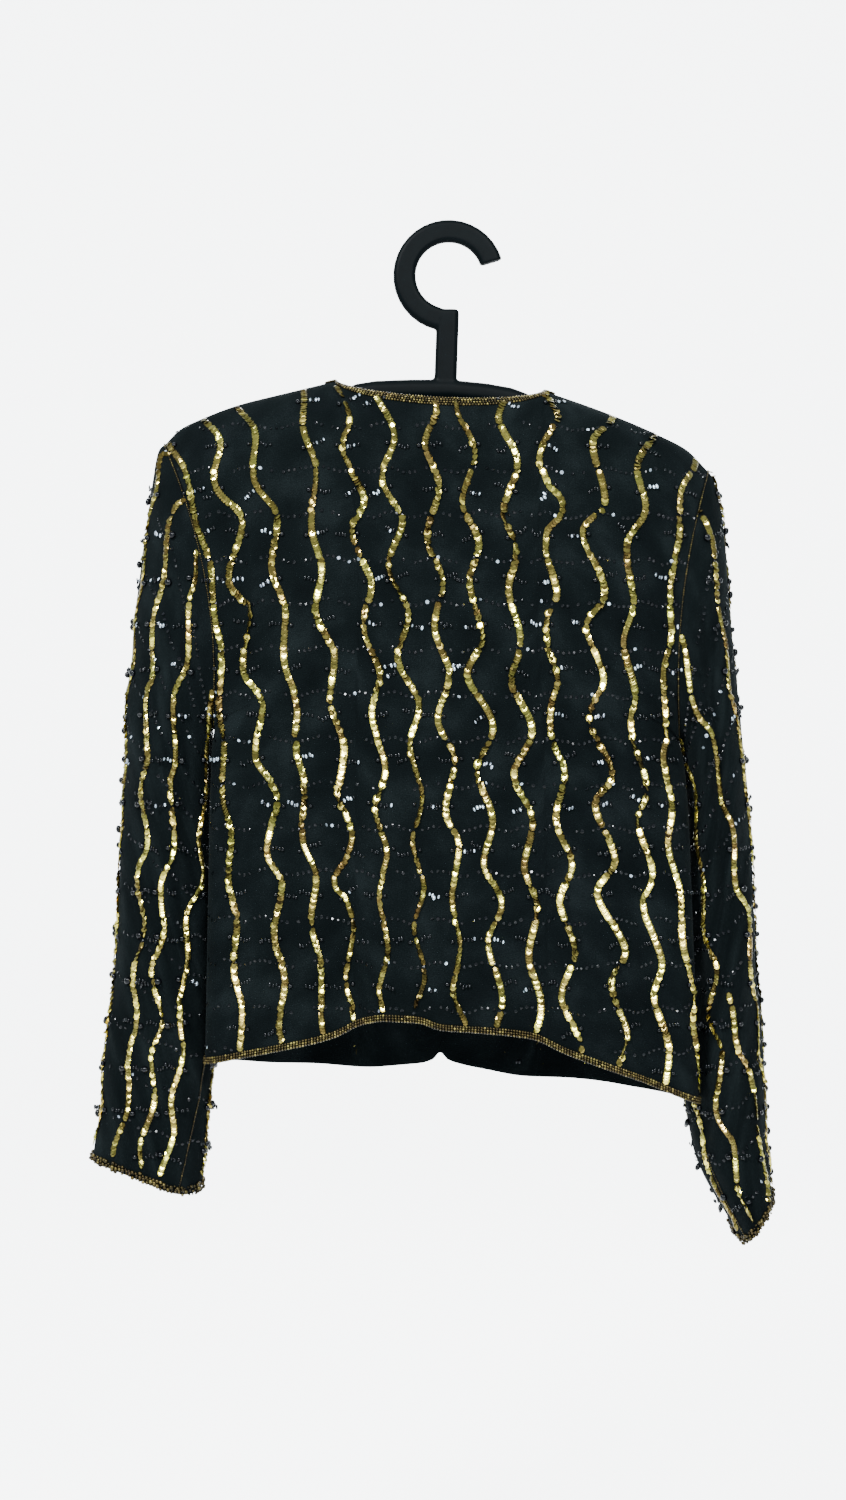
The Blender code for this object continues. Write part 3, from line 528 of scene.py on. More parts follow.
goldLines = {
    "width": 0.0061,
    "length": 0.0062,
    "thickness": 0.006,
    "pitch": 0.0022,
    "lift": 0.0010,
    "rowSpacing": 0.0352,
    "firstRow": -0.1505,
    "bends": 26,
    "hemSwing": 0.8,  # share of the swing left near the hem
    "gap": 0.0016,
    "tilt": 20,
    "tiltSpread": 11,
    "stretchTilt": 18,  # a stretch is the part of a line between two black rows
    "rollSpread": 11,
    "stretchLean": 26,
    "ruffledShare": 0.45,  # some stretches glitter, the others lie smooth
    "ruffled": 1.5,
    "smooth": 0.6,
    "narrowPaintedShadeX": -0.030,  # painted shade and narrower sequins in the lower middle, painted highlights at the lower right
    "narrowPaintedShadeReach": 0.065,
    "paintedGlints": 0.10,  # share of the sequins given a painted glint (a lighter tone) and turned to the lamp, more of them low down
    "mirrorShare": 0.5,
    "mirrorLimit": 0.82,
    "mirrorSpread": 0.035,
    "lamp": (0.3, -1.9, 0.35),
    "viewer": (-0.02, -1.7, -0.41),
    "sleeveSlim": 0.84,  # width of the sleeve lines against the body's
    "turnedShare": 0.2,  # share of the stretches where the sequins stand on edge
    "turnedLean": 36,
    "missing": 0.008,
    "missingWhenTurned": 0.16,
    "tone": 0.44,
    "stretchTone": 0.30,
    "toneSpread": 0.10,
    # painted highlight: how much lighter the tone of a glinting sequin is
    "paintedGlintTone": 0.4,
    # Each line's x at the top, upper back, middle and hem, height of its first bend to the right, and swing
    "back": (
        (-223, -183, -177, -162, -192, 3.0),
        (-194, -164, -144, -128, -163, 6.0),
        (-167, -134, -118, -96, -158, 3.8),
        (-119, -103, -86, -76, -192, 4.6),
        (-90, -69, -55, -50, -206, 5.2),
        (-51, -43, -26, -24, -158, 5.6),
        (-19, -10, -2, 8, -203, 4.4),
        (13, 18, 26, 38, -174, 6.6),
        (45, 49, 57, 71, -179, 6.0),
        (78, 79, 84, 98, -142, 7.4),
        (122, 114, 118, 137, -136, 8.0),
        (158, 141, 150, 174, -147, 5.8),
        (193, 172, 172, 198, -171, 3.4),
    ),
    "front": (
        (-208, -188, -174, -168, -180, 4.0),
        (-176, -156, -142, -138, -160, 5.6),
        (-144, -125, -112, -106, -190, 6.0),
        (-112, -93, -80, -76, -170, 4.8),
        (-82, -62, -48, -44, -150, 5.4),
        (-42, -32, -24, -22, -180, 4.2),
        (28, 18, 10, 12, -172, 4.2),
        (66, 51, 40, 42, -160, 5.6),
        (98, 82, 70, 76, -186, 5.0),
        (130, 115, 104, 110, -168, 6.2),
        (162, 147, 136, 144, -150, 5.2),
        (190, 177, 168, 176, -176, 4.0),
    ),
    # Each sleeve line's share of the length and angle round it, height of its first bend, and swing
    "left": (
        (((0.02, 24), (0.33, 25), (0.55, 21), (0.78, 15), (1, 11)), -197, 4.2),
        (((0.03, 54), (0.34, 60), (0.56, 64), (0.77, 64), (1, 58)), -196, 4.8),
        (((0.05, 77), (0.31, 100), (0.53, 100), (0.76, 89), (1, 89)), -195, 4.6),
        (((0.07, 137), (0.30, 156), (0.53, 143), (0.76, 118), (1, 109)), -225, 4.0),
        (((0.55, 182), (1, 165)), -240, 3.0),
        (((0, 222), (1, 212)), -230, 4.8),
        (((0, 262), (1, 256)), -205, 5.2),
        (((0, 300), (1, 300)), -190, 5.0),
        (((0, 338), (1, 336)), -200, 4.4),
    ),
    "right": (
        (((0.02, 47), (0.13, 50), (0.27, 56), (0.40, 53), (0.54, 34), (0.72, 8), (1, -14)), -218, 2.4),
        (((0.05, 103), (0.23, 119), (0.42, 103), (0.60, 70), (0.78, 38), (1, 12)), -228, 4.6),
        (((0.06, 168), (0.28, 163), (0.40, 150), (0.52, 136), (0.75, 112), (1, 102)), -196, 4.4),
        (((0.75, 88), (0.79, 80), (0.84, 66), (0.91, 54), (1, 55)), -212, 3.6),
        (((0.62, 194), (0.73, 188), (0.84, 154), (1, 142)), -250, 3.2),
        (((0, 236), (1, 204)), -236, 5.0),
        (((0, 272), (1, 242)), -214, 5.4),
        (((0, 312), (1, 280)), -200, 4.8),
        (((0.02, 6), (0.27, 2), (0.54, -14), (0.72, -30), (1, -48)), -206, 4.6),
    ),
}


def waveOffset(level, firstBend, swing, rng):
    # Sideways swing at each height: smooth bends to alternate sides, with a small step at each black row
    count, spacing = goldLines["bends"], goldLines["rowSpacing"]
    bends = firstBend * mm + spacing * (4 - np.arange(count)) + rng.uniform(-0.005, 0.005, count)
    reach = swing * mm * np.interp(bends, (-0.62, -0.32), (goldLines["hemSwing"], 1))
    alternate = 1 - np.arange(count) % 2 * 2
    offsets = reach * rng.uniform(0.6, 1.4, count) * alternate + rng.uniform(-0.001, 0.001, count)
    i = np.clip(np.searchsorted(-bends, -level) - 1, 0, count - 2)
    u = np.clip((level - bends[i]) / (bends[i + 1] - bends[i]), 0, 1)
    steps = rng.uniform(-0.0008, 0.0008, count)
    row = np.clip(((goldLines["firstRow"] - level) / spacing).astype(int) + 2, 0, count - 1)
    return offsets[i] + (offsets[i + 1] - offsets[i]) * ease(u) + steps[row]


def faceLamp(placed, path, paintedGlints, share, rng):
    # The glinting sequins hang loose enough to mirror the small lamp towards the viewer
    place = path["place"]
    mirror = unit(unit(np.array(goldLines["lamp"]) - place) + unit(np.array(goldLines["viewer"]) - place))
    loose = paintedGlints & ((mirror * path["out"]).sum(1) > goldLines["mirrorLimit"])
    loose &= rng.uniform(0, 1, len(place)) < share
    mirror = unit(mirror + rng.normal(0, goldLines["mirrorSpread"], (len(place), 3)))
    placed["out"] = np.where(loose[:, None], mirror, placed["out"])
    placed["side"] = unit(np.cross(placed["out"], placed["ahead"]))
    placed["ahead"] = np.cross(placed["side"], placed["out"])


def crossingBeads(path, cells, low, knotSize, rng):
    # Where a line crosses a black row: one round knot, then a short run of long beads to one side
    crossings = np.flatnonzero(np.diff(np.floor(cells + 0.5)) != 0)
    run = blackRows["runOfBeads"]
    spots = np.repeat(crossings, run + 1)
    count = len(spots)
    place, out, ahead = (path[key][spots] for key in ("place", "out", "ahead"))
    isKnot = np.tile([True] + [False] * run, len(crossings))
    step = np.tile(np.arange(run + 1), len(crossings))
    toSide = np.repeat(rng.choice([-1, 1], len(crossings)), run + 1) * np.where(isKnot, -1, 1)
    reach = blackRows["runFrom"] + blackRows["runStep"] * np.maximum(step - 1, 0)
    aside = np.cross(out, ahead) * ((reach + rng.uniform(-0.0005, 0.0008, count)) * toSide)[:, None]
    along = ahead * (rng.uniform(-0.0013, 0.0013, count) * ~isKnot)[:, None]
    pieces = turned({"out": out, "ahead": ahead}, rng.normal(0, 16, count), rng.normal(0, 16, count))
    pieces["place"] = place + aside + along + out * 0.001
    knot, small = np.array([knotSize, knotSize, knotSize * 0.85]), np.array(blackRows["longBead"])
    pieces["size"] = np.where(isKnot[:, None], knot, small) * rng.uniform(0.8, 1.15, (count, 1))
    # Painted highlight: some runs of beads get a pale tone, fewer low down and fewer on the right sleeve in
    # painted shade
    onRight = path["place"][crossings, 0] > blackRows["paintedShadePastX"]
    chance = blackRows["paintedShineClusters"] * (1 - 0.7 * low[crossings]) * np.where(onRight, 0.35, 1)
    paintedShine = np.repeat(rng.uniform(0, 1, len(crossings)) < chance, run + 1)
    paintedShine &= rng.uniform(0, 1, count) < blackRows["paintedShineBeads"]
    paintedHighlight, dark = rng.uniform(0.6, 1, count), rng.uniform(0, 0.25, count)
    pieces["tone"] = np.where(isKnot, 0.05, np.where(paintedShine, paintedHighlight, dark))
    return pieces


def dressLine(surface, rows, columns, rng, knotSize, slim=1):
    # Gold sequins along one wavy line; returns them and the black pieces where it crosses the rows
    path = evenPath(surface, rows, columns, goldLines["pitch"])
    place = path["place"]
    x, z, count = place[:, 0], place[:, 2], len(place)
    cells = (goldLines["firstRow"] - z) / goldLines["rowSpacing"]
    nearRow = np.abs(cells - np.round(cells)) * goldLines["rowSpacing"]
    stretch = np.clip(np.floor(cells).astype(int) + 4, 0, 39)
    gapDraw, turnDraw, toneDraw, widthDraw, ruffleDraw, tiltDraw = rng.uniform(0, 1, (40, 6))[stretch].T
    missing = rng.uniform(0, 1, count)
    lower, low = ease((-0.22 - z) / 0.25), ease((-0.40 - z) / 0.14)
    # Painted shade in the lower middle, where the lines are also narrower; painted highlight at the lower
    # right and the lower left sleeve
    narrowPaintedShade = np.exp(-(((x - goldLines["narrowPaintedShadeX"]) / goldLines["narrowPaintedShadeReach"]) ** 2)) * low
    paintedHighlight = np.maximum(ease((x - 0.04) / 0.1), ease((-0.17 - x) / 0.04)) * low
    # The right sleeve gets painted shade: a darker tone and fewer painted glints
    shaded = x > blackRows["paintedShadePastX"]
    edgeOn = turnDraw < goldLines["turnedShare"] + 0.35 * narrowPaintedShade
    keep = nearRow > goldLines["gap"] * (0.1 + gapDraw)
    keep &= missing > np.where(edgeOn, goldLines["missingWhenTurned"], goldLines["missing"])

    ruffled = np.where(ruffleDraw < goldLines["ruffledShare"], goldLines["ruffled"], goldLines["smooth"])
    tilt = goldLines["tilt"] + goldLines["stretchTilt"] * (tiltDraw - 0.5)
    tilt = tilt + rng.normal(0, goldLines["tiltSpread"], count) * ruffled
    lean = np.where(toneDraw < 0.5, -1, 1) * np.where(edgeOn, goldLines["turnedLean"], 0)
    lean = lean + goldLines["stretchLean"] * (widthDraw - 0.5)
    placed = turned(path, tilt, lean + rng.normal(0, goldLines["rollSpread"], count) * ruffled)
    placed["place"] = place + path["out"] * goldLines["lift"]
    width = slim * goldLines["width"] * (0.88 + 0.14 * widthDraw) * (1 - 0.25 * narrowPaintedShade)
    length, thickness = np.full(count, goldLines["length"]), np.full(count, goldLines["thickness"])
    placed["size"] = np.stack([length, width, thickness], 1)

    # Painted highlights: the glinting sequins get a lighter tone, more of them low down and where the painted
    # highlight lies
    chance = goldLines["paintedGlints"] * (1 + 2.4 * lower + 1.4 * paintedHighlight) * (1 - 0.7 * narrowPaintedShade) * (1 - 0.3 * shaded)
    paintedGlints = rng.uniform(0, 1, count) < chance
    paintedGlints |= (tiltDraw < 0.3 * lower * (1 - narrowPaintedShade)) & (rng.uniform(0, 1, count) < 0.5)
    tone = goldLines["tone"] + goldLines["stretchTone"] * (toneDraw - 0.5)
    tone = tone + rng.normal(0, goldLines["toneSpread"], count) * ruffled
    # Painted shade darkens the lower middle, the right sleeve and edge-on sequins; a painted highlight
    # lightens the lower right
    tone += 0.05 * paintedHighlight - 0.2 * narrowPaintedShade - 0.05 * shaded - 0.08 * edgeOn
    placed["tone"] = np.clip(np.where(paintedGlints, tone + goldLines["paintedGlintTone"], tone), 0, 1)
    faceLamp(placed, path, paintedGlints, goldLines["mirrorShare"] + 0.25 * lower, rng)
    gold = {key: value[keep] for key, value in placed.items()}
    return gold, crossingBeads(path, cells, low, knotSize, rng)


def torsoLines(surface, table, seed):
    gold, beads = [], []
    shares, points = surface["shares"], surface["points"]
    columnIndex = np.arange(len(shares))
    down = surface["down"]
    rowIndex = np.arange(len(down))
    hemX = points[-1, :, 0] / mm
    topX = points[0, :, 0] / mm
    upper, middle = len(down) // 4, len(down) // 2
    for number, (xTop, xUpper, xMiddle, xHem, firstBend, swing) in enumerate(table):
        if not (min(hemX[0], topX[0]) - 1 < xTop < max(hemX[-1], topX[-1]) + 1):
            continue  # this line belongs to the other front
        rng = np.random.default_rng(seed + number)
        levels = (
            (0, xTop, topX), (down[upper], xUpper, points[upper, :, 0] / mm),
            (down[middle], xMiddle, points[middle, :, 0] / mm), (1, xHem, hemX),
        )
        fade = np.linspace(0.006, 0.985, 1500)
        rows = np.interp(fade, down, rowIndex)
        columns = smoothThrough([(f, np.interp(x, xs, columnIndex)) for f, x, xs in levels])(fade)
        base, _ = sample(surface, rows, columns)
        columnWidth = np.interp(columns, columnIndex[:-1] + 0.5, np.diff(surface["fromFirst"][middle]))
        offset = waveOffset(base[:, 2], firstBend, swing, rng) / columnWidth
        line, knots = dressLine(surface, rows, columns + offset, rng, blackRows["knotOnTorso"])
        gold.append(line)
        beads.append(knots)
    return joinPlaced(gold), joinPlaced(beads)


def sleeveLines(surface, table, seed):
    gold, beads = [], []
    angles = surface["angles"]
    columnIndex = np.arange(len(angles))
    rowCount = surface["points"].shape[0]
    for number, (knots, firstBend, swing) in enumerate(table):
        rng = np.random.default_rng(seed + number)
        share = np.linspace(max(knots[0][0], 0.004), 0.985, 1600)
        rows = np.interp(share, surface["down"], np.arange(rowCount))
        columns = np.interp(smoothThrough(knots)(share) % 360, angles, columnIndex)
        base, _ = sample(surface, rows, columns)
        nearRow = np.clip(rows.astype(int), 0, rowCount - 1)
        nearColumn = np.clip(columns.astype(int), 0, len(angles) - 2)
        widths = np.diff(surface["fromFirst"], axis=1)[nearRow, nearColumn]
        swung = waveOffset(base[:, 2], firstBend, swing, rng) * ease((share - share[0]) / 0.08)
        offset = swung / np.maximum(widths, 0.0012)
        knotSize, slim = blackRows["knotOnSleeve"], goldLines["sleeveSlim"]
        line, crossings = dressLine(surface, rows, columns + offset, rng, knotSize, slim)
        gold.append(line)
        beads.append(crossings)
    return joinPlaced(gold), joinPlaced(beads)


blackRows = {
    "size": 0.0030,
    "pitch": 0.0048,
    "lift": 0.0006,
    "missing": 0.2,
    "paintedGlintShare": 0.055,  # share of these sequins given a painted glint, a pale tone
    "paintedShineClusters": 0.43,
    "paintedShineBeads": 0.6,
    "paintedShadePastX": 0.19,  # the right sleeve gets painted shade: a darker tone and few painted glints on its beads
    "runOfBeads": 4,
    "runFrom": 0.0046,
    "runStep": 0.0024,
    "longBead": (0.0036, 0.0021, 0.0014),
    "nub": 0.0062,
    "knotOnTorso": 0.0036,
    "knotOnSleeve": 0.0056,
}


def blackRow(surface, rows, columns, rng):
    path = evenPath(surface, rows, columns, blackRows["pitch"])
    count = len(path["place"])
    keep = rng.uniform(0, 1, count) > blackRows["missing"]
    placed = turned(path, 14 + rng.normal(0, 14, count), rng.normal(0, 16, count))
    placed["place"] = path["place"] + path["out"] * blackRows["lift"]
    placed["size"] = np.tile([blackRows["size"]] * 3, (count, 1)) * rng.uniform(0.85, 1.1, (count, 1))
    # Painted glints on the black sequins: a pale tone, fewer of them low down
    low = ease((-0.30 - path["place"][:, 2]) / 0.2)
    paintedGlints = rng.uniform(0, 1, count) < blackRows["paintedGlintShare"] * (1 - 0.75 * low)
    placed["tone"] = np.where(paintedGlints, rng.uniform(0.6, 0.95, count), rng.uniform(0, 0.14, count))
    return {key: value[keep] for key, value in placed.items()}


def torsoBlackRows(surface, seed):
    rng = np.random.default_rng(seed)
    heights = -surface["points"][:, :, 2]
    rowCount, columnCount = heights.shape
    columns = np.linspace(1, columnCount - 2, 400)
    found = []
    for n in range(15):
        level = goldLines["firstRow"] - n * goldLines["rowSpacing"]
        scallop = 0.0022 * np.sin(np.linspace(0, 26 * math.pi, 400)) + rng.uniform(-0.002, 0.002)
        places = zip(columns.astype(int), level + scallop)
        rows = np.array([np.interp(-z, heights[:, column], np.arange(rowCount)) for column, z in places])
        inside = np.flatnonzero((rows > 0.8) & (rows < rowCount - 4))
        for stretch in np.split(inside, np.flatnonzero(np.diff(inside) > 1) + 1):
            if len(stretch) > 12:
                found.append(blackRow(surface, rows[stretch], columns[stretch], rng))
    return joinPlaced(found)


def sleeveBlackRows(surface, seed):
    rng = np.random.default_rng(seed)
    points = surface["points"]
    length = surface["fromTop"].mean(axis=1)
    found = []
    for n in range(16):
        at = 0.028 + n * goldLines["rowSpacing"]
        if at > length[-1] - 0.01:
            break
        columns = np.linspace(0, points.shape[1] - 1.001, 300)
        scallop = 0.0022 * np.sin(np.linspace(0, 18 * math.pi, 300))
        rows = np.interp(at + scallop, length, np.arange(len(length)))
        found.append(blackRow(surface, rows, columns, rng))
    return joinPlaced(found)


def sleeveNubs(surface, seed):
    # Bunches of black beads that stand out from the outer and inner folds of a sleeve
    rng = np.random.default_rng(seed)
    length, angles = surface["fromTop"].mean(axis=1), surface["angles"]
    levels = np.arange(0.034, length[-1] - 0.012, goldLines["rowSpacing"])
    found = []
    for angle, shareFrom in ((4, 0.0), (352, 0.3), (186, 0.62), (174, 0.75)):
        down = levels[levels > shareFrom * length[-1]] + rng.uniform(-0.003, 0.003)
        count = len(down)
        rows = np.interp(down, length, np.arange(len(length)))
        columns = np.interp((angle + rng.uniform(-5, 5, count)) % 360, angles, np.arange(len(angles)))
        place, out = sample(surface, rows, columns)
        hanging = {"out": out, "ahead": np.tile([0.0, 0.0, -1.0], (count, 1))}
        nub = turned(hanging, rng.normal(0, 10, count), np.zeros(count))
        nub["place"] = place + out * 0.0016
        nub["size"] = blackRows["nub"] * rng.uniform(0.8, 1.1, (count, 3)) * np.array([1, 0.9, 0.8])
        nub["tone"] = rng.uniform(0, 0.1, count)
        found.append(nub)
    return joinPlaced(found)


edgeBeads = {
    "length": 0.0023,
    "width": 0.0021,
    "neckRows": (0.0010, 0.0031, 0.0052, 0.0073),
    "frontRows": (0.0010, 0.0030, 0.0050),
    "hemRows": (0.0009, 0.0028, 0.0047),
    "cuffRows": (0.0008, 0.0030, 0.0052),
    "cuffBead": 0.0029,
    "cuffTone": 0.36,
    "cuffUneven": 0.4,
    "seamLength": 0.0018,
    "seamBead": 0.0013,
    "seamTone": 0.3,
}


def beadRow(surface, rows, columns, rng, long=None, wide=None, tone=0.5, uneven=0.06):
    long = long or edgeBeads["length"]
    wide = wide or edgeBeads["width"]
    path = evenPath(surface, rows, columns, long * 1.02)
    count = len(path["place"])
    placed = turned(path, rng.normal(0, 5, count), rng.normal(0, 5, count))
    lift = wide * (0.42 + 0.8 * uneven * rng.uniform(-1, 1, count))
    aside = np.cross(path["out"], path["ahead"]) * (wide * 0.8 * uneven * rng.uniform(-1, 1, count))[:, None]
    placed["place"] = path["place"] + aside + path["out"] * lift[:, None]
    growth = 1 + uneven * rng.uniform(-1.1, 0.9, (count, 1))
    placed["size"] = np.tile([long, wide, wide], (count, 1)) * growth
    placed["tone"] = np.clip(tone + rng.normal(0, 0.2, count), 0, 1)
    return placed


def neckPath(surface, distance, ends):
    # Along the neck edge at a distance in, turning up to the shoulder seam at each end that has one
    index, neckShare = np.arange(len(surface["shares"])), torso["neckShare"]
    first = np.interp(-neckShare, surface["shares"], index) if ends[0] else 0.0
    last = np.interp(neckShare, surface["shares"], index) if ends[1] else float(index[-1])
    columns = np.linspace(first, last, 260)
    rows = rowAtDistance(surface, columns, distance)
    turn = np.linspace(0, math.pi / 2, 10)[:-1]
    step = surface["fromFirst"][0]
    for corner, direction, wanted in ((first, -1, ends[0]), (last, 1, ends[1])):
        if not wanted:
            continue
        reach = np.interp(corner, index, step) + direction * distance * np.cos(turn)
        extraColumns = np.interp(reach, step, index)
        rises = zip(extraColumns, distance * np.sin(turn))
        extraRows = np.concatenate([rowAtDistance(surface, [column], rise) for column, rise in rises])
        if direction > 0:
            columns = np.concatenate([columns, extraColumns[::-1]])
            rows = np.concatenate([rows, extraRows[::-1]])
        else:
            columns = np.concatenate([extraColumns, columns])
            rows = np.concatenate([extraRows, rows])
    return rows, columns


def frontEdgePath(surface, distance, centreFirst):
    # Down the centre-front edge at a distance in from it
    rows = np.linspace(0.3, surface["points"].shape[0] - 1.2, 500)
    lengths = surface["fromFirst"]
    columns = []
    for r in rows:
        row = lengths[int(r)]
        wanted = distance if centreFirst else row[-1] - distance
        columns.append(np.interp(wanted, row, np.arange(len(row))))
    return rows, np.array(columns)


def sleeveSeamPath(surface):
    # Down the inside of the sleeve, where its one long seam turns forward towards the cuff
    rows = np.linspace(0.5, len(surface["down"]) - 1.5, 600)
    share = np.interp(rows, np.arange(len(surface["down"])), surface["down"])
    seamAngle = smoothThrough(((0.0, 180), (0.6, 168), (0.85, 150), (1.0, 128)))
    return rows, np.interp(seamAngle(share), surface["angles"], np.arange(len(surface["angles"])))


def hemPath(surface, distance):
    columns = np.linspace(0.2, surface["points"].shape[1] - 1.2, 500)
    return rowAtDistance(surface, columns, distance, fromHem=True), columns


def feed(tree, socket, value):  # a socket takes a plain value, or a link from another socket
    if isinstance(value, bpy.types.NodeSocket):
        tree.links.new(value, socket)
    else:
        socket.default_value = value


def worked(tree, operation, *amounts):
    node = tree.nodes.new("ShaderNodeMath")
    node.operation = operation
    for socket, amount in zip(node.inputs, amounts):
        feed(tree, socket, amount)
    return node.outputs[0]


def noiseAt(tree, place, scale, detail=2, roughness=0.5):
    noise = tree.nodes.new("ShaderNodeTexNoise")
    for name, value in (("Vector", place), ("Scale", scale), ("Detail", detail), ("Roughness", roughness)):
        feed(tree, noise.inputs[name], value)
    return noise.outputs["Fac"]


def shadesBetween(tree, shades, amount, low=0.0, high=1.0):
    # Runs through the shades as the amount goes from low to high
    ramp = tree.nodes.new("ShaderNodeValToRGB")
    first, last = ramp.color_ramp.elements
    first.position, last.position = low, high
    first.color, last.color = shades[0], shades[-1]
    for k, colour in enumerate(shades[1:-1], 1):
        ramp.color_ramp.elements.new(low + (high - low) * k / (len(shades) - 1)).color = colour
    tree.links.new(amount, ramp.inputs["Fac"])
    return ramp.outputs["Color"]


def roughen(tree, shader, height, strength, distance):
    bump = tree.nodes.new("ShaderNodeBump")
    for name, value in (("Strength", strength), ("Distance", distance), ("Height", height)):
        feed(tree, bump.inputs[name], value)
    tree.links.new(bump.outputs["Normal"], shader.inputs["Normal"])


def newGroup(name, takes, gives):
    group = bpy.data.node_groups.new(name, "ShaderNodeTree")
    for direction, sockets in (("INPUT", takes), ("OUTPUT", gives)):
        for socket, kind in sockets.items():
            group.interface.new_socket(socket, in_out=direction, socket_type=kind)
    return group, group.nodes.new("NodeGroupInput").outputs, group.nodes.new("NodeGroupOutput").inputs


def makeToneGroup():  # turns the tone of each small piece into a slightly uneven finish
    number = "NodeSocketFloat"
    takes = {"Tone": number, "Unevenness": number, "Scale": number}
    group, taken, given = newGroup("pieceTone", takes, {"Shade": number})
    place = group.nodes.new("ShaderNodeTexCoord").outputs["Object"]
    centred = worked(group, "SUBTRACT", noiseAt(group, place, taken["Scale"]), 0.5)
    shade = worked(group, "MULTIPLY_ADD", centred, taken["Unevenness"], taken["Tone"])
    shade.node.use_clamp = True
    feed(group, given["Shade"], shade)
    return group


def makeCrepeGroup():  # fine crinkled weave: a height and a slow change of shade
    number = "NodeSocketFloat"
    takes = {"Place": "NodeSocketVector", "Grain": number}
    group, taken, given = newGroup("crepeWeave", takes, {"Height": number, "Shade": number})
    fine = noiseAt(group, taken["Place"], taken["Grain"], 4, 0.7)
    slow = noiseAt(group, taken["Place"], 26, 5)
    threads = group.nodes.new("ShaderNodeTexWave")
    threads.bands_direction = "Y"
    settings = {"Vector": taken["Place"], "Scale": 190, "Distortion": 3.5, "Detail": 2, "Detail Scale": 2.5}
    for name, value in settings.items():
        feed(group, threads.inputs[name], value)
    feed(group, given["Height"], worked(group, "MULTIPLY_ADD", threads.outputs["Fac"], 0.35, fine))
    slowShare = worked(group, "MULTIPLY", slow, 0.55)
    feed(group, given["Shade"], worked(group, "MULTIPLY_ADD", fine, 0.45, slowShare))
    return group


def newFinish(name, shaderValues):
    finish = bpy.data.materials.new(name)
    finish.use_nodes = True
    shader = finish.node_tree.nodes["Principled BSDF"]
    for socket, value in shaderValues.items():
        shader.inputs[socket].default_value = value
    return finish, finish.node_tree, shader


def clothFinish(group, settings):
    finish, tree, shader = newFinish("blackCrepe", settings["shader"])
    flatMap = tree.nodes.new("ShaderNodeUVMap")
    flatMap.uv_map = "clothMap"
    weave = tree.nodes.new("ShaderNodeGroup")
    weave.node_tree = group
    feed(tree, weave.inputs["Grain"], settings["grain"])
    feed(tree, weave.inputs["Place"], flatMap.outputs["UV"])
    colour = shadesBetween(tree, settings["colours"], weave.outputs["Shade"], 0.3, 0.7)
    feed(tree, shader.inputs["Base Color"], colour)
    roughen(tree, shader, weave.outputs["Height"], settings["bump"], 0.0006)
    return finish


def toneFinish(name, group, settings):
    finish, tree, shader = newFinish(name, settings["shader"])
    tone = tree.nodes.new("ShaderNodeAttribute")
    tone.attribute_name = "tone"
    uneven = tree.nodes.new("ShaderNodeGroup")
    uneven.node_tree = group
    feed(tree, uneven.inputs["Tone"], tone.outputs["Fac"])
    feed(tree, uneven.inputs["Unevenness"], settings["unevenness"])
    feed(tree, uneven.inputs["Scale"], settings["scale"])
    # Here and there the colour drifts a little towards green or orange
    place, drift = tree.nodes.new("ShaderNodeTexCoord").outputs["Object"], settings["hueDrift"]
    patches = noiseAt(tree, place, settings["patchScale"])
    dyed = tree.nodes.new("ShaderNodeHueSaturation")
    feed(tree, dyed.inputs["Hue"], worked(tree, "MULTIPLY_ADD", patches, drift, 0.5 - drift / 2))
    feed(tree, dyed.inputs["Color"], shadesBetween(tree, settings["colours"], uneven.outputs["Shade"]))
    feed(tree, shader.inputs["Base Color"], dyed.outputs["Color"])
    return finish


finishes = {
    "cloth": {
        "grain": 900,
        "bump": 0.5,
        "colours": ((0.0004, 0.0009, 0.0011, 1), (0.0015, 0.0026, 0.0029, 1), (0.0052, 0.0076, 0.0082, 1)),
        "shader": {
            "Roughness": 0.86,
            "Specular IOR Level": 0.02,
            "Sheen Weight": 0.015,
            "Sheen Roughness": 0.45,
            "Sheen Tint": (0.6, 0.75, 0.8, 1),
        },
    },
    "goldSequins": {
        "unevenness": 0.5,
        "scale": 60,
        "hueDrift": 0.12,
        "patchScale": 42,
        # the palest shade is the painted glint colour
        "colours": (
            (0.028, 0.020, 0.004, 1), (0.088, 0.064, 0.014, 1), (0.140, 0.120, 0.028, 1),
            (0.26, 0.22, 0.050, 1), (1.0, 0.82, 0.15, 1),
        ),
        "shader": {"Metallic": 0.92, "Roughness": 0.15, "Specular IOR Level": 0.6},
    },
    "blackSequins": {
        "unevenness": 0.3,
        "scale": 90,
        "hueDrift": 0.1,
        "patchScale": 60,
        # the palest shade is the painted glint on the black sequins
        "colours": ((0.0015, 0.002, 0.003, 1), (0.005, 0.008, 0.010, 1), (0.50, 0.60, 0.70, 1)),
        "shader": {"Metallic": 0.5, "Roughness": 0.16, "Specular IOR Level": 0.35},
    },
    "antiqueBeads": {
        "unevenness": 0.4,
        "scale": 120,
        "hueDrift": 0.06,
        "patchScale": 60,
        "colours": ((0.009, 0.0065, 0.0017, 1), (0.036, 0.027, 0.007, 1), (0.19, 0.155, 0.045, 1)),
        "shader": {"Metallic": 0.8, "Roughness": 0.34, "Specular IOR Level": 0.5},
    },
}

toneGroup = makeToneGroup()
clothBlack = clothFinish(makeCrepeGroup(), finishes["cloth"])
goldSequin, blackSequin, goldBead = (
    toneFinish(name, toneGroup, finishes[name]) for name in ("goldSequins", "blackSequins", "antiqueBeads")
)
print("finishes made")

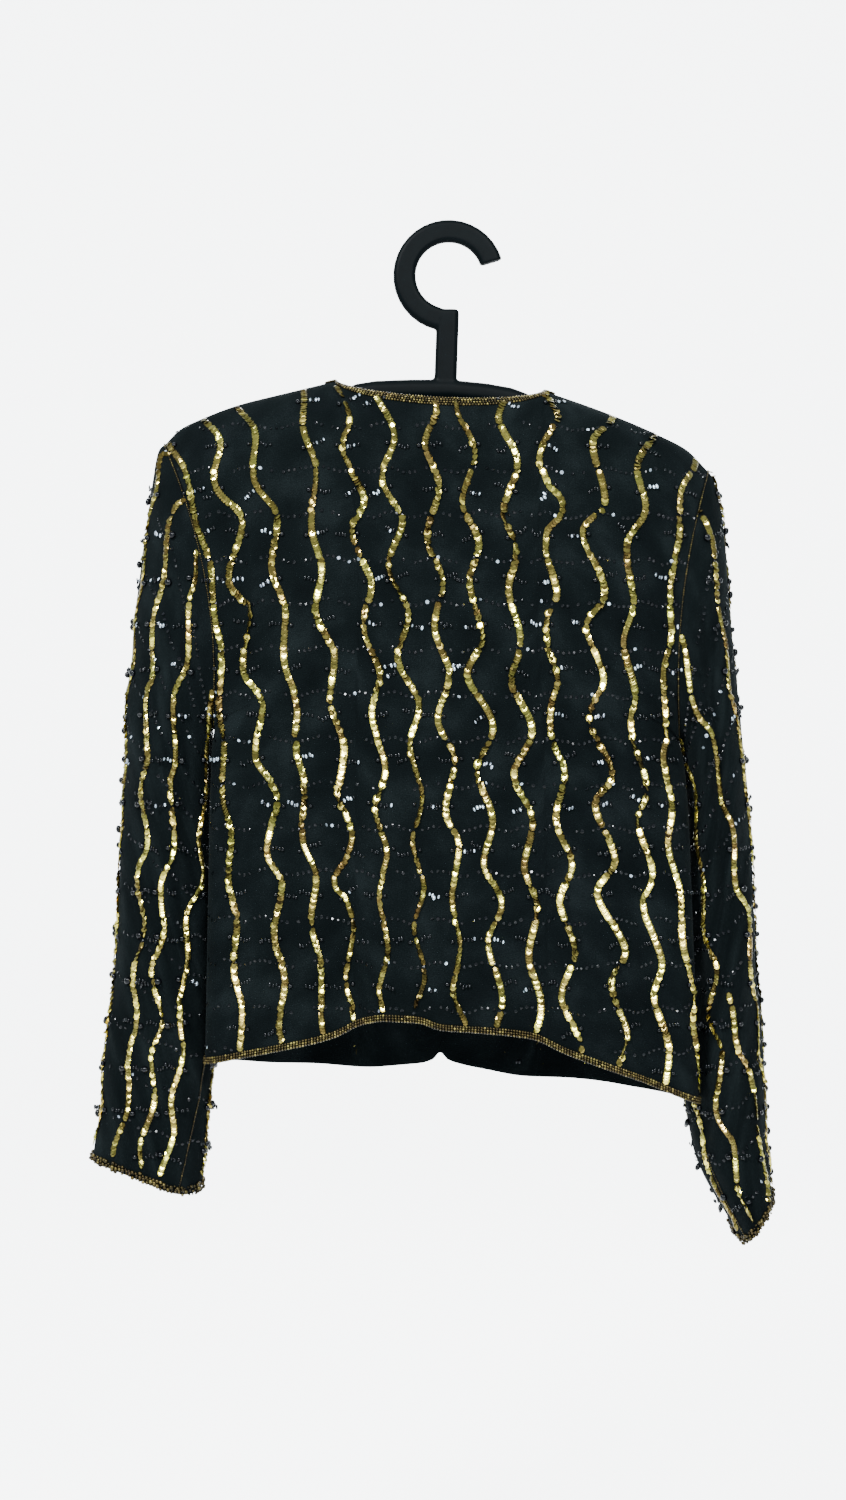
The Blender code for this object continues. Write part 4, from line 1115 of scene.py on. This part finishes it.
detail = clothSettings["detail"]
frontSurface = torsoSurface("front", detail)
middle = len(frontSurface["shares"]) // 2
surfaces = {
    "back": torsoSurface("back", detail),
    "front_left": columnsOf(frontSurface, 0, middle),
    "sleeve_left": sleeveSurface("left", detail),
    "front_right": columnsOf(frontSurface, middle, 2 * middle),
    "sleeve_right": sleeveSurface("right", detail),
}
cloths, trims = {}, {}
for part, surface in surfaces.items():
    addNormals(surface)
    name = part.replace("_", "Cloth_") if "_" in part else part + "Cloth"
    cloths[part] = clothPiece(name, surface, clothBlack)
    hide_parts(part)
    trims[part] = []
print("cloth cut and hung")


def sewSequins(part, gold, knots, black):
    trims[part] += [
        scatter("goldLines_" + part, "sequin", gold, goldSequin),
        scatter("blackRows_" + part, "sequin", black, blackSequin),
        scatter("blackBeads_" + part, "round", knots, blackSequin),
    ]


back = surfaces["back"]
sewSequins("back", *torsoLines(back, goldLines["back"], 100), torsoBlackRows(back, 11))
for k, side in enumerate(("left", "right")):
    front, sleeve = surfaces["front_" + side], surfaces["sleeve_" + side]
    gold, knots = torsoLines(front, goldLines["front"], 200 + 40 * k)
    sewSequins("front_" + side, gold, knots, torsoBlackRows(front, 21 + k))
    gold, knots = sleeveLines(sleeve, goldLines[side], 300 + 40 * k)
    knots = joinPlaced([knots, sleeveNubs(sleeve, 61 + k)])
    sewSequins("sleeve_" + side, gold, knots, sleeveBlackRows(sleeve, 31 + k))
print("sequins sewn on")


def sewBeads(part, name, rows, band=None):
    piece = scatter(name, "bead", joinPlaced(rows), goldBead)
    if band:
        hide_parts(band)
    trims[part].append(piece)


rng = np.random.default_rng(51)
rows = [beadRow(back, *neckPath(back, d, (True, True)), rng) for d in edgeBeads["neckRows"]]
sewBeads("back", "neckBeads_back", rows, "neck_band_back")
rows = [beadRow(back, *hemPath(back, d), rng) for d in edgeBeads["hemRows"]]
sewBeads("back", "hemBeads_back", rows, "hem_band_back")
for side in ("left", "right"):
    front, sleeve = surfaces["front_" + side], surfaces["sleeve_" + side]
    ends = (side == "left", side == "right")  # each front has one shoulder end
    rows = [beadRow(front, *neckPath(front, d, ends), rng) for d in edgeBeads["neckRows"]]
    rows += [beadRow(front, *frontEdgePath(front, d, side == "right"), rng) for d in edgeBeads["frontRows"]]
    rows += [beadRow(front, *hemPath(front, d), rng) for d in edgeBeads["hemRows"]]
    sewBeads("front_" + side, "edgeBeads_" + side, rows, "edge_band_" + side)

    around = np.linspace(0, sleeve["points"].shape[1] - 1, 400)
    bead = (edgeBeads["cuffBead"], edgeBeads["cuffBead"], edgeBeads["cuffTone"], edgeBeads["cuffUneven"])
    levels = [rowAtDistance(sleeve, around, d, fromHem=True) for d in edgeBeads["cuffRows"]]
    rows = [beadRow(sleeve, level, around, rng, *bead) for level in levels]
    sewBeads("sleeve_" + side, "cuffBeads_" + side, rows, "cuff_band_" + side)
    bead = (edgeBeads["seamLength"], edgeBeads["seamBead"], edgeBeads["seamTone"])
    rows = [beadRow(sleeve, rowAtDistance(sleeve, around, 0.0012), around, rng, *bead)]
    rows.append(beadRow(sleeve, *sleeveSeamPath(sleeve), rng, *bead))
    sewBeads("sleeve_" + side, "seamBeads_" + side, rows)
print("edges beaded")

hanger = {
    "voxel": 0.0011,
    "grain": 140,
    "bump": 0.12,
    "colours": ((0.0003, 0.0009, 0.0012, 1), (0.0009, 0.0020, 0.0025, 1)),
    "shader": {"Roughness": 0.45, "Specular IOR Level": 0.03},
}


def buildHanger():
    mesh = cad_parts["hanger"].data.copy()
    mesh.name = "mouldedHanger"
    mesh.materials.clear()
    shape = bmesh.new()
    shape.from_mesh(mesh)
    bmesh.ops.remove_doubles(shape, verts=shape.verts, dist=2e-6)
    shape.to_mesh(mesh)
    shape.free()
    finish, tree, shader = newFinish("blackPlastic", hanger["shader"])
    place = tree.nodes.new("ShaderNodeTexCoord").outputs["Object"]
    noise = noiseAt(tree, place, hanger["grain"], 4)
    feed(tree, shader.inputs["Base Color"], shadesBetween(tree, hanger["colours"], noise))
    roughen(tree, shader, noise, hanger["bump"], 0.0004)
    piece = newObject("mouldedHanger", mesh, finish)
    remesh = piece.modifiers.new("moulded", "REMESH")
    remesh.mode = "VOXEL"
    remesh.voxel_size = hanger["voxel"]
    remesh.use_smooth_shade = True
    soften = piece.modifiers.new("soften", "SMOOTH")
    soften.factor = 0.5
    soften.iterations = 6
    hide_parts("hanger")


buildHanger()
print("hanger moulded")

studio = {
    "camera": (-0.0206, -1.7, -0.406),
    "frameHeight": 1.2,
    "wallBrightness": 4.5,  # what the camera sees, above the glow that falls on the jacket
    "wallGlow": 0.7,
    "floorZ": -1.25,
    "floorFront": 3.5,
    "wallY": 2.4,
    "sweepRadius": 0.9,
    "sweepSize": 10.0,
    "sweepShader": {
        "Base Color": (0.86, 0.87, 0.88, 1),
        "Roughness": 0.9,
        "Emission Color": (0.93, 0.95, 0.95, 1),
    },
    "backdrop": ((0.93, 0.95, 0.95, 1), 3.2),
    "room": ((0.80, 0.90, 0.95, 1), 1.35),
    "aim": (0, 0, -0.4),
    # Place, size and power of each light
    "lights": {
        "keyLight": ((-0.9, -1.6, 1.0), 0.4, 120),
        "fillLight": ((0.6, -1.6, 0.95), 0.45, 42),
        "sparkLight": (goldLines["lamp"], 0.22, 24),
        "rearLight": ((0.2, 1.8, 0.6), 1.2, 30),
    },
}


def putIn(name, data, place):
    thing = bpy.data.objects.new(name, data)
    thing.location = place
    bpy.context.scene.collection.objects.link(thing)
    return thing


def buildSweep():  # a pale floor that curves up into the wall behind
    radius, half = studio["sweepRadius"], studio["sweepSize"] / 2
    sweep = bmesh.new()
    bmesh.ops.create_grid(sweep, x_segments=1, y_segments=60, size=1)
    for vert in sweep.verts:
        along = (vert.co.y + 1) * half - studio["floorFront"]
        bend = np.clip((along - studio["wallY"]) / radius, 0, math.pi / 2)
        rise = max(0, along - studio["wallY"] - math.pi / 2 * radius)
        y = min(along, studio["wallY"]) + radius * math.sin(bend)
        vert.co = (vert.co.x * half, y, studio["floorZ"] + radius * (1 - math.cos(bend)) + rise)
    for face in sweep.faces:
        face.smooth = True
    mesh = bpy.data.meshes.new("paleSweep")
    sweep.to_mesh(mesh)
    sweep.free()
    finish, tree, shader = newFinish("paleSweep", studio["sweepShader"])
    seen = tree.nodes.new("ShaderNodeLightPath").outputs["Is Camera Ray"]
    glow = worked(tree, "MULTIPLY_ADD", seen, studio["wallBrightness"], studio["wallGlow"])
    feed(tree, shader.inputs["Emission Strength"], glow)
    mesh.materials.append(finish)
    putIn("paleSweep", mesh, (0, 0, 0))


def buildRoom():  # soft light from all round, and a brighter backdrop that only the camera sees
    world = bpy.data.worlds.new("paleRoom")
    bpy.context.scene.world = world
    world.use_nodes = True
    tree = world.node_tree
    seen, either = tree.nodes.new("ShaderNodeLightPath"), tree.nodes.new("ShaderNodeMixShader")
    feed(tree, either.inputs["Fac"], seen.outputs["Is Camera Ray"])
    for k, name in ((1, "room"), (2, "backdrop")):
        background = tree.nodes.new("ShaderNodeBackground")
        background.inputs["Color"].default_value, background.inputs["Strength"].default_value = studio[name]
        feed(tree, either.inputs[k], background.outputs["Background"])
    feed(tree, tree.nodes["World Output"].inputs["Surface"], either.outputs["Shader"])


def buildLights():
    for name, (place, size, power) in studio["lights"].items():
        lamp = bpy.data.lights.new(name, "AREA")
        lamp.size, lamp.energy = size, power
        aim = Vector(studio["aim"]) - Vector(place)
        putIn(name, lamp, place).rotation_euler = aim.to_track_quat("-Z", "Y").to_euler()


def buildCamera():
    camera = bpy.data.cameras.new("camera")
    camera.lens = camera.sensor_width * -studio["camera"][1] / studio["frameHeight"]
    view = putIn("camera", camera, studio["camera"])
    view.rotation_euler = (math.pi / 2, 0, 0)
    bpy.context.scene.camera = view


buildSweep()
buildRoom()
buildLights()
buildCamera()
print("studio set")
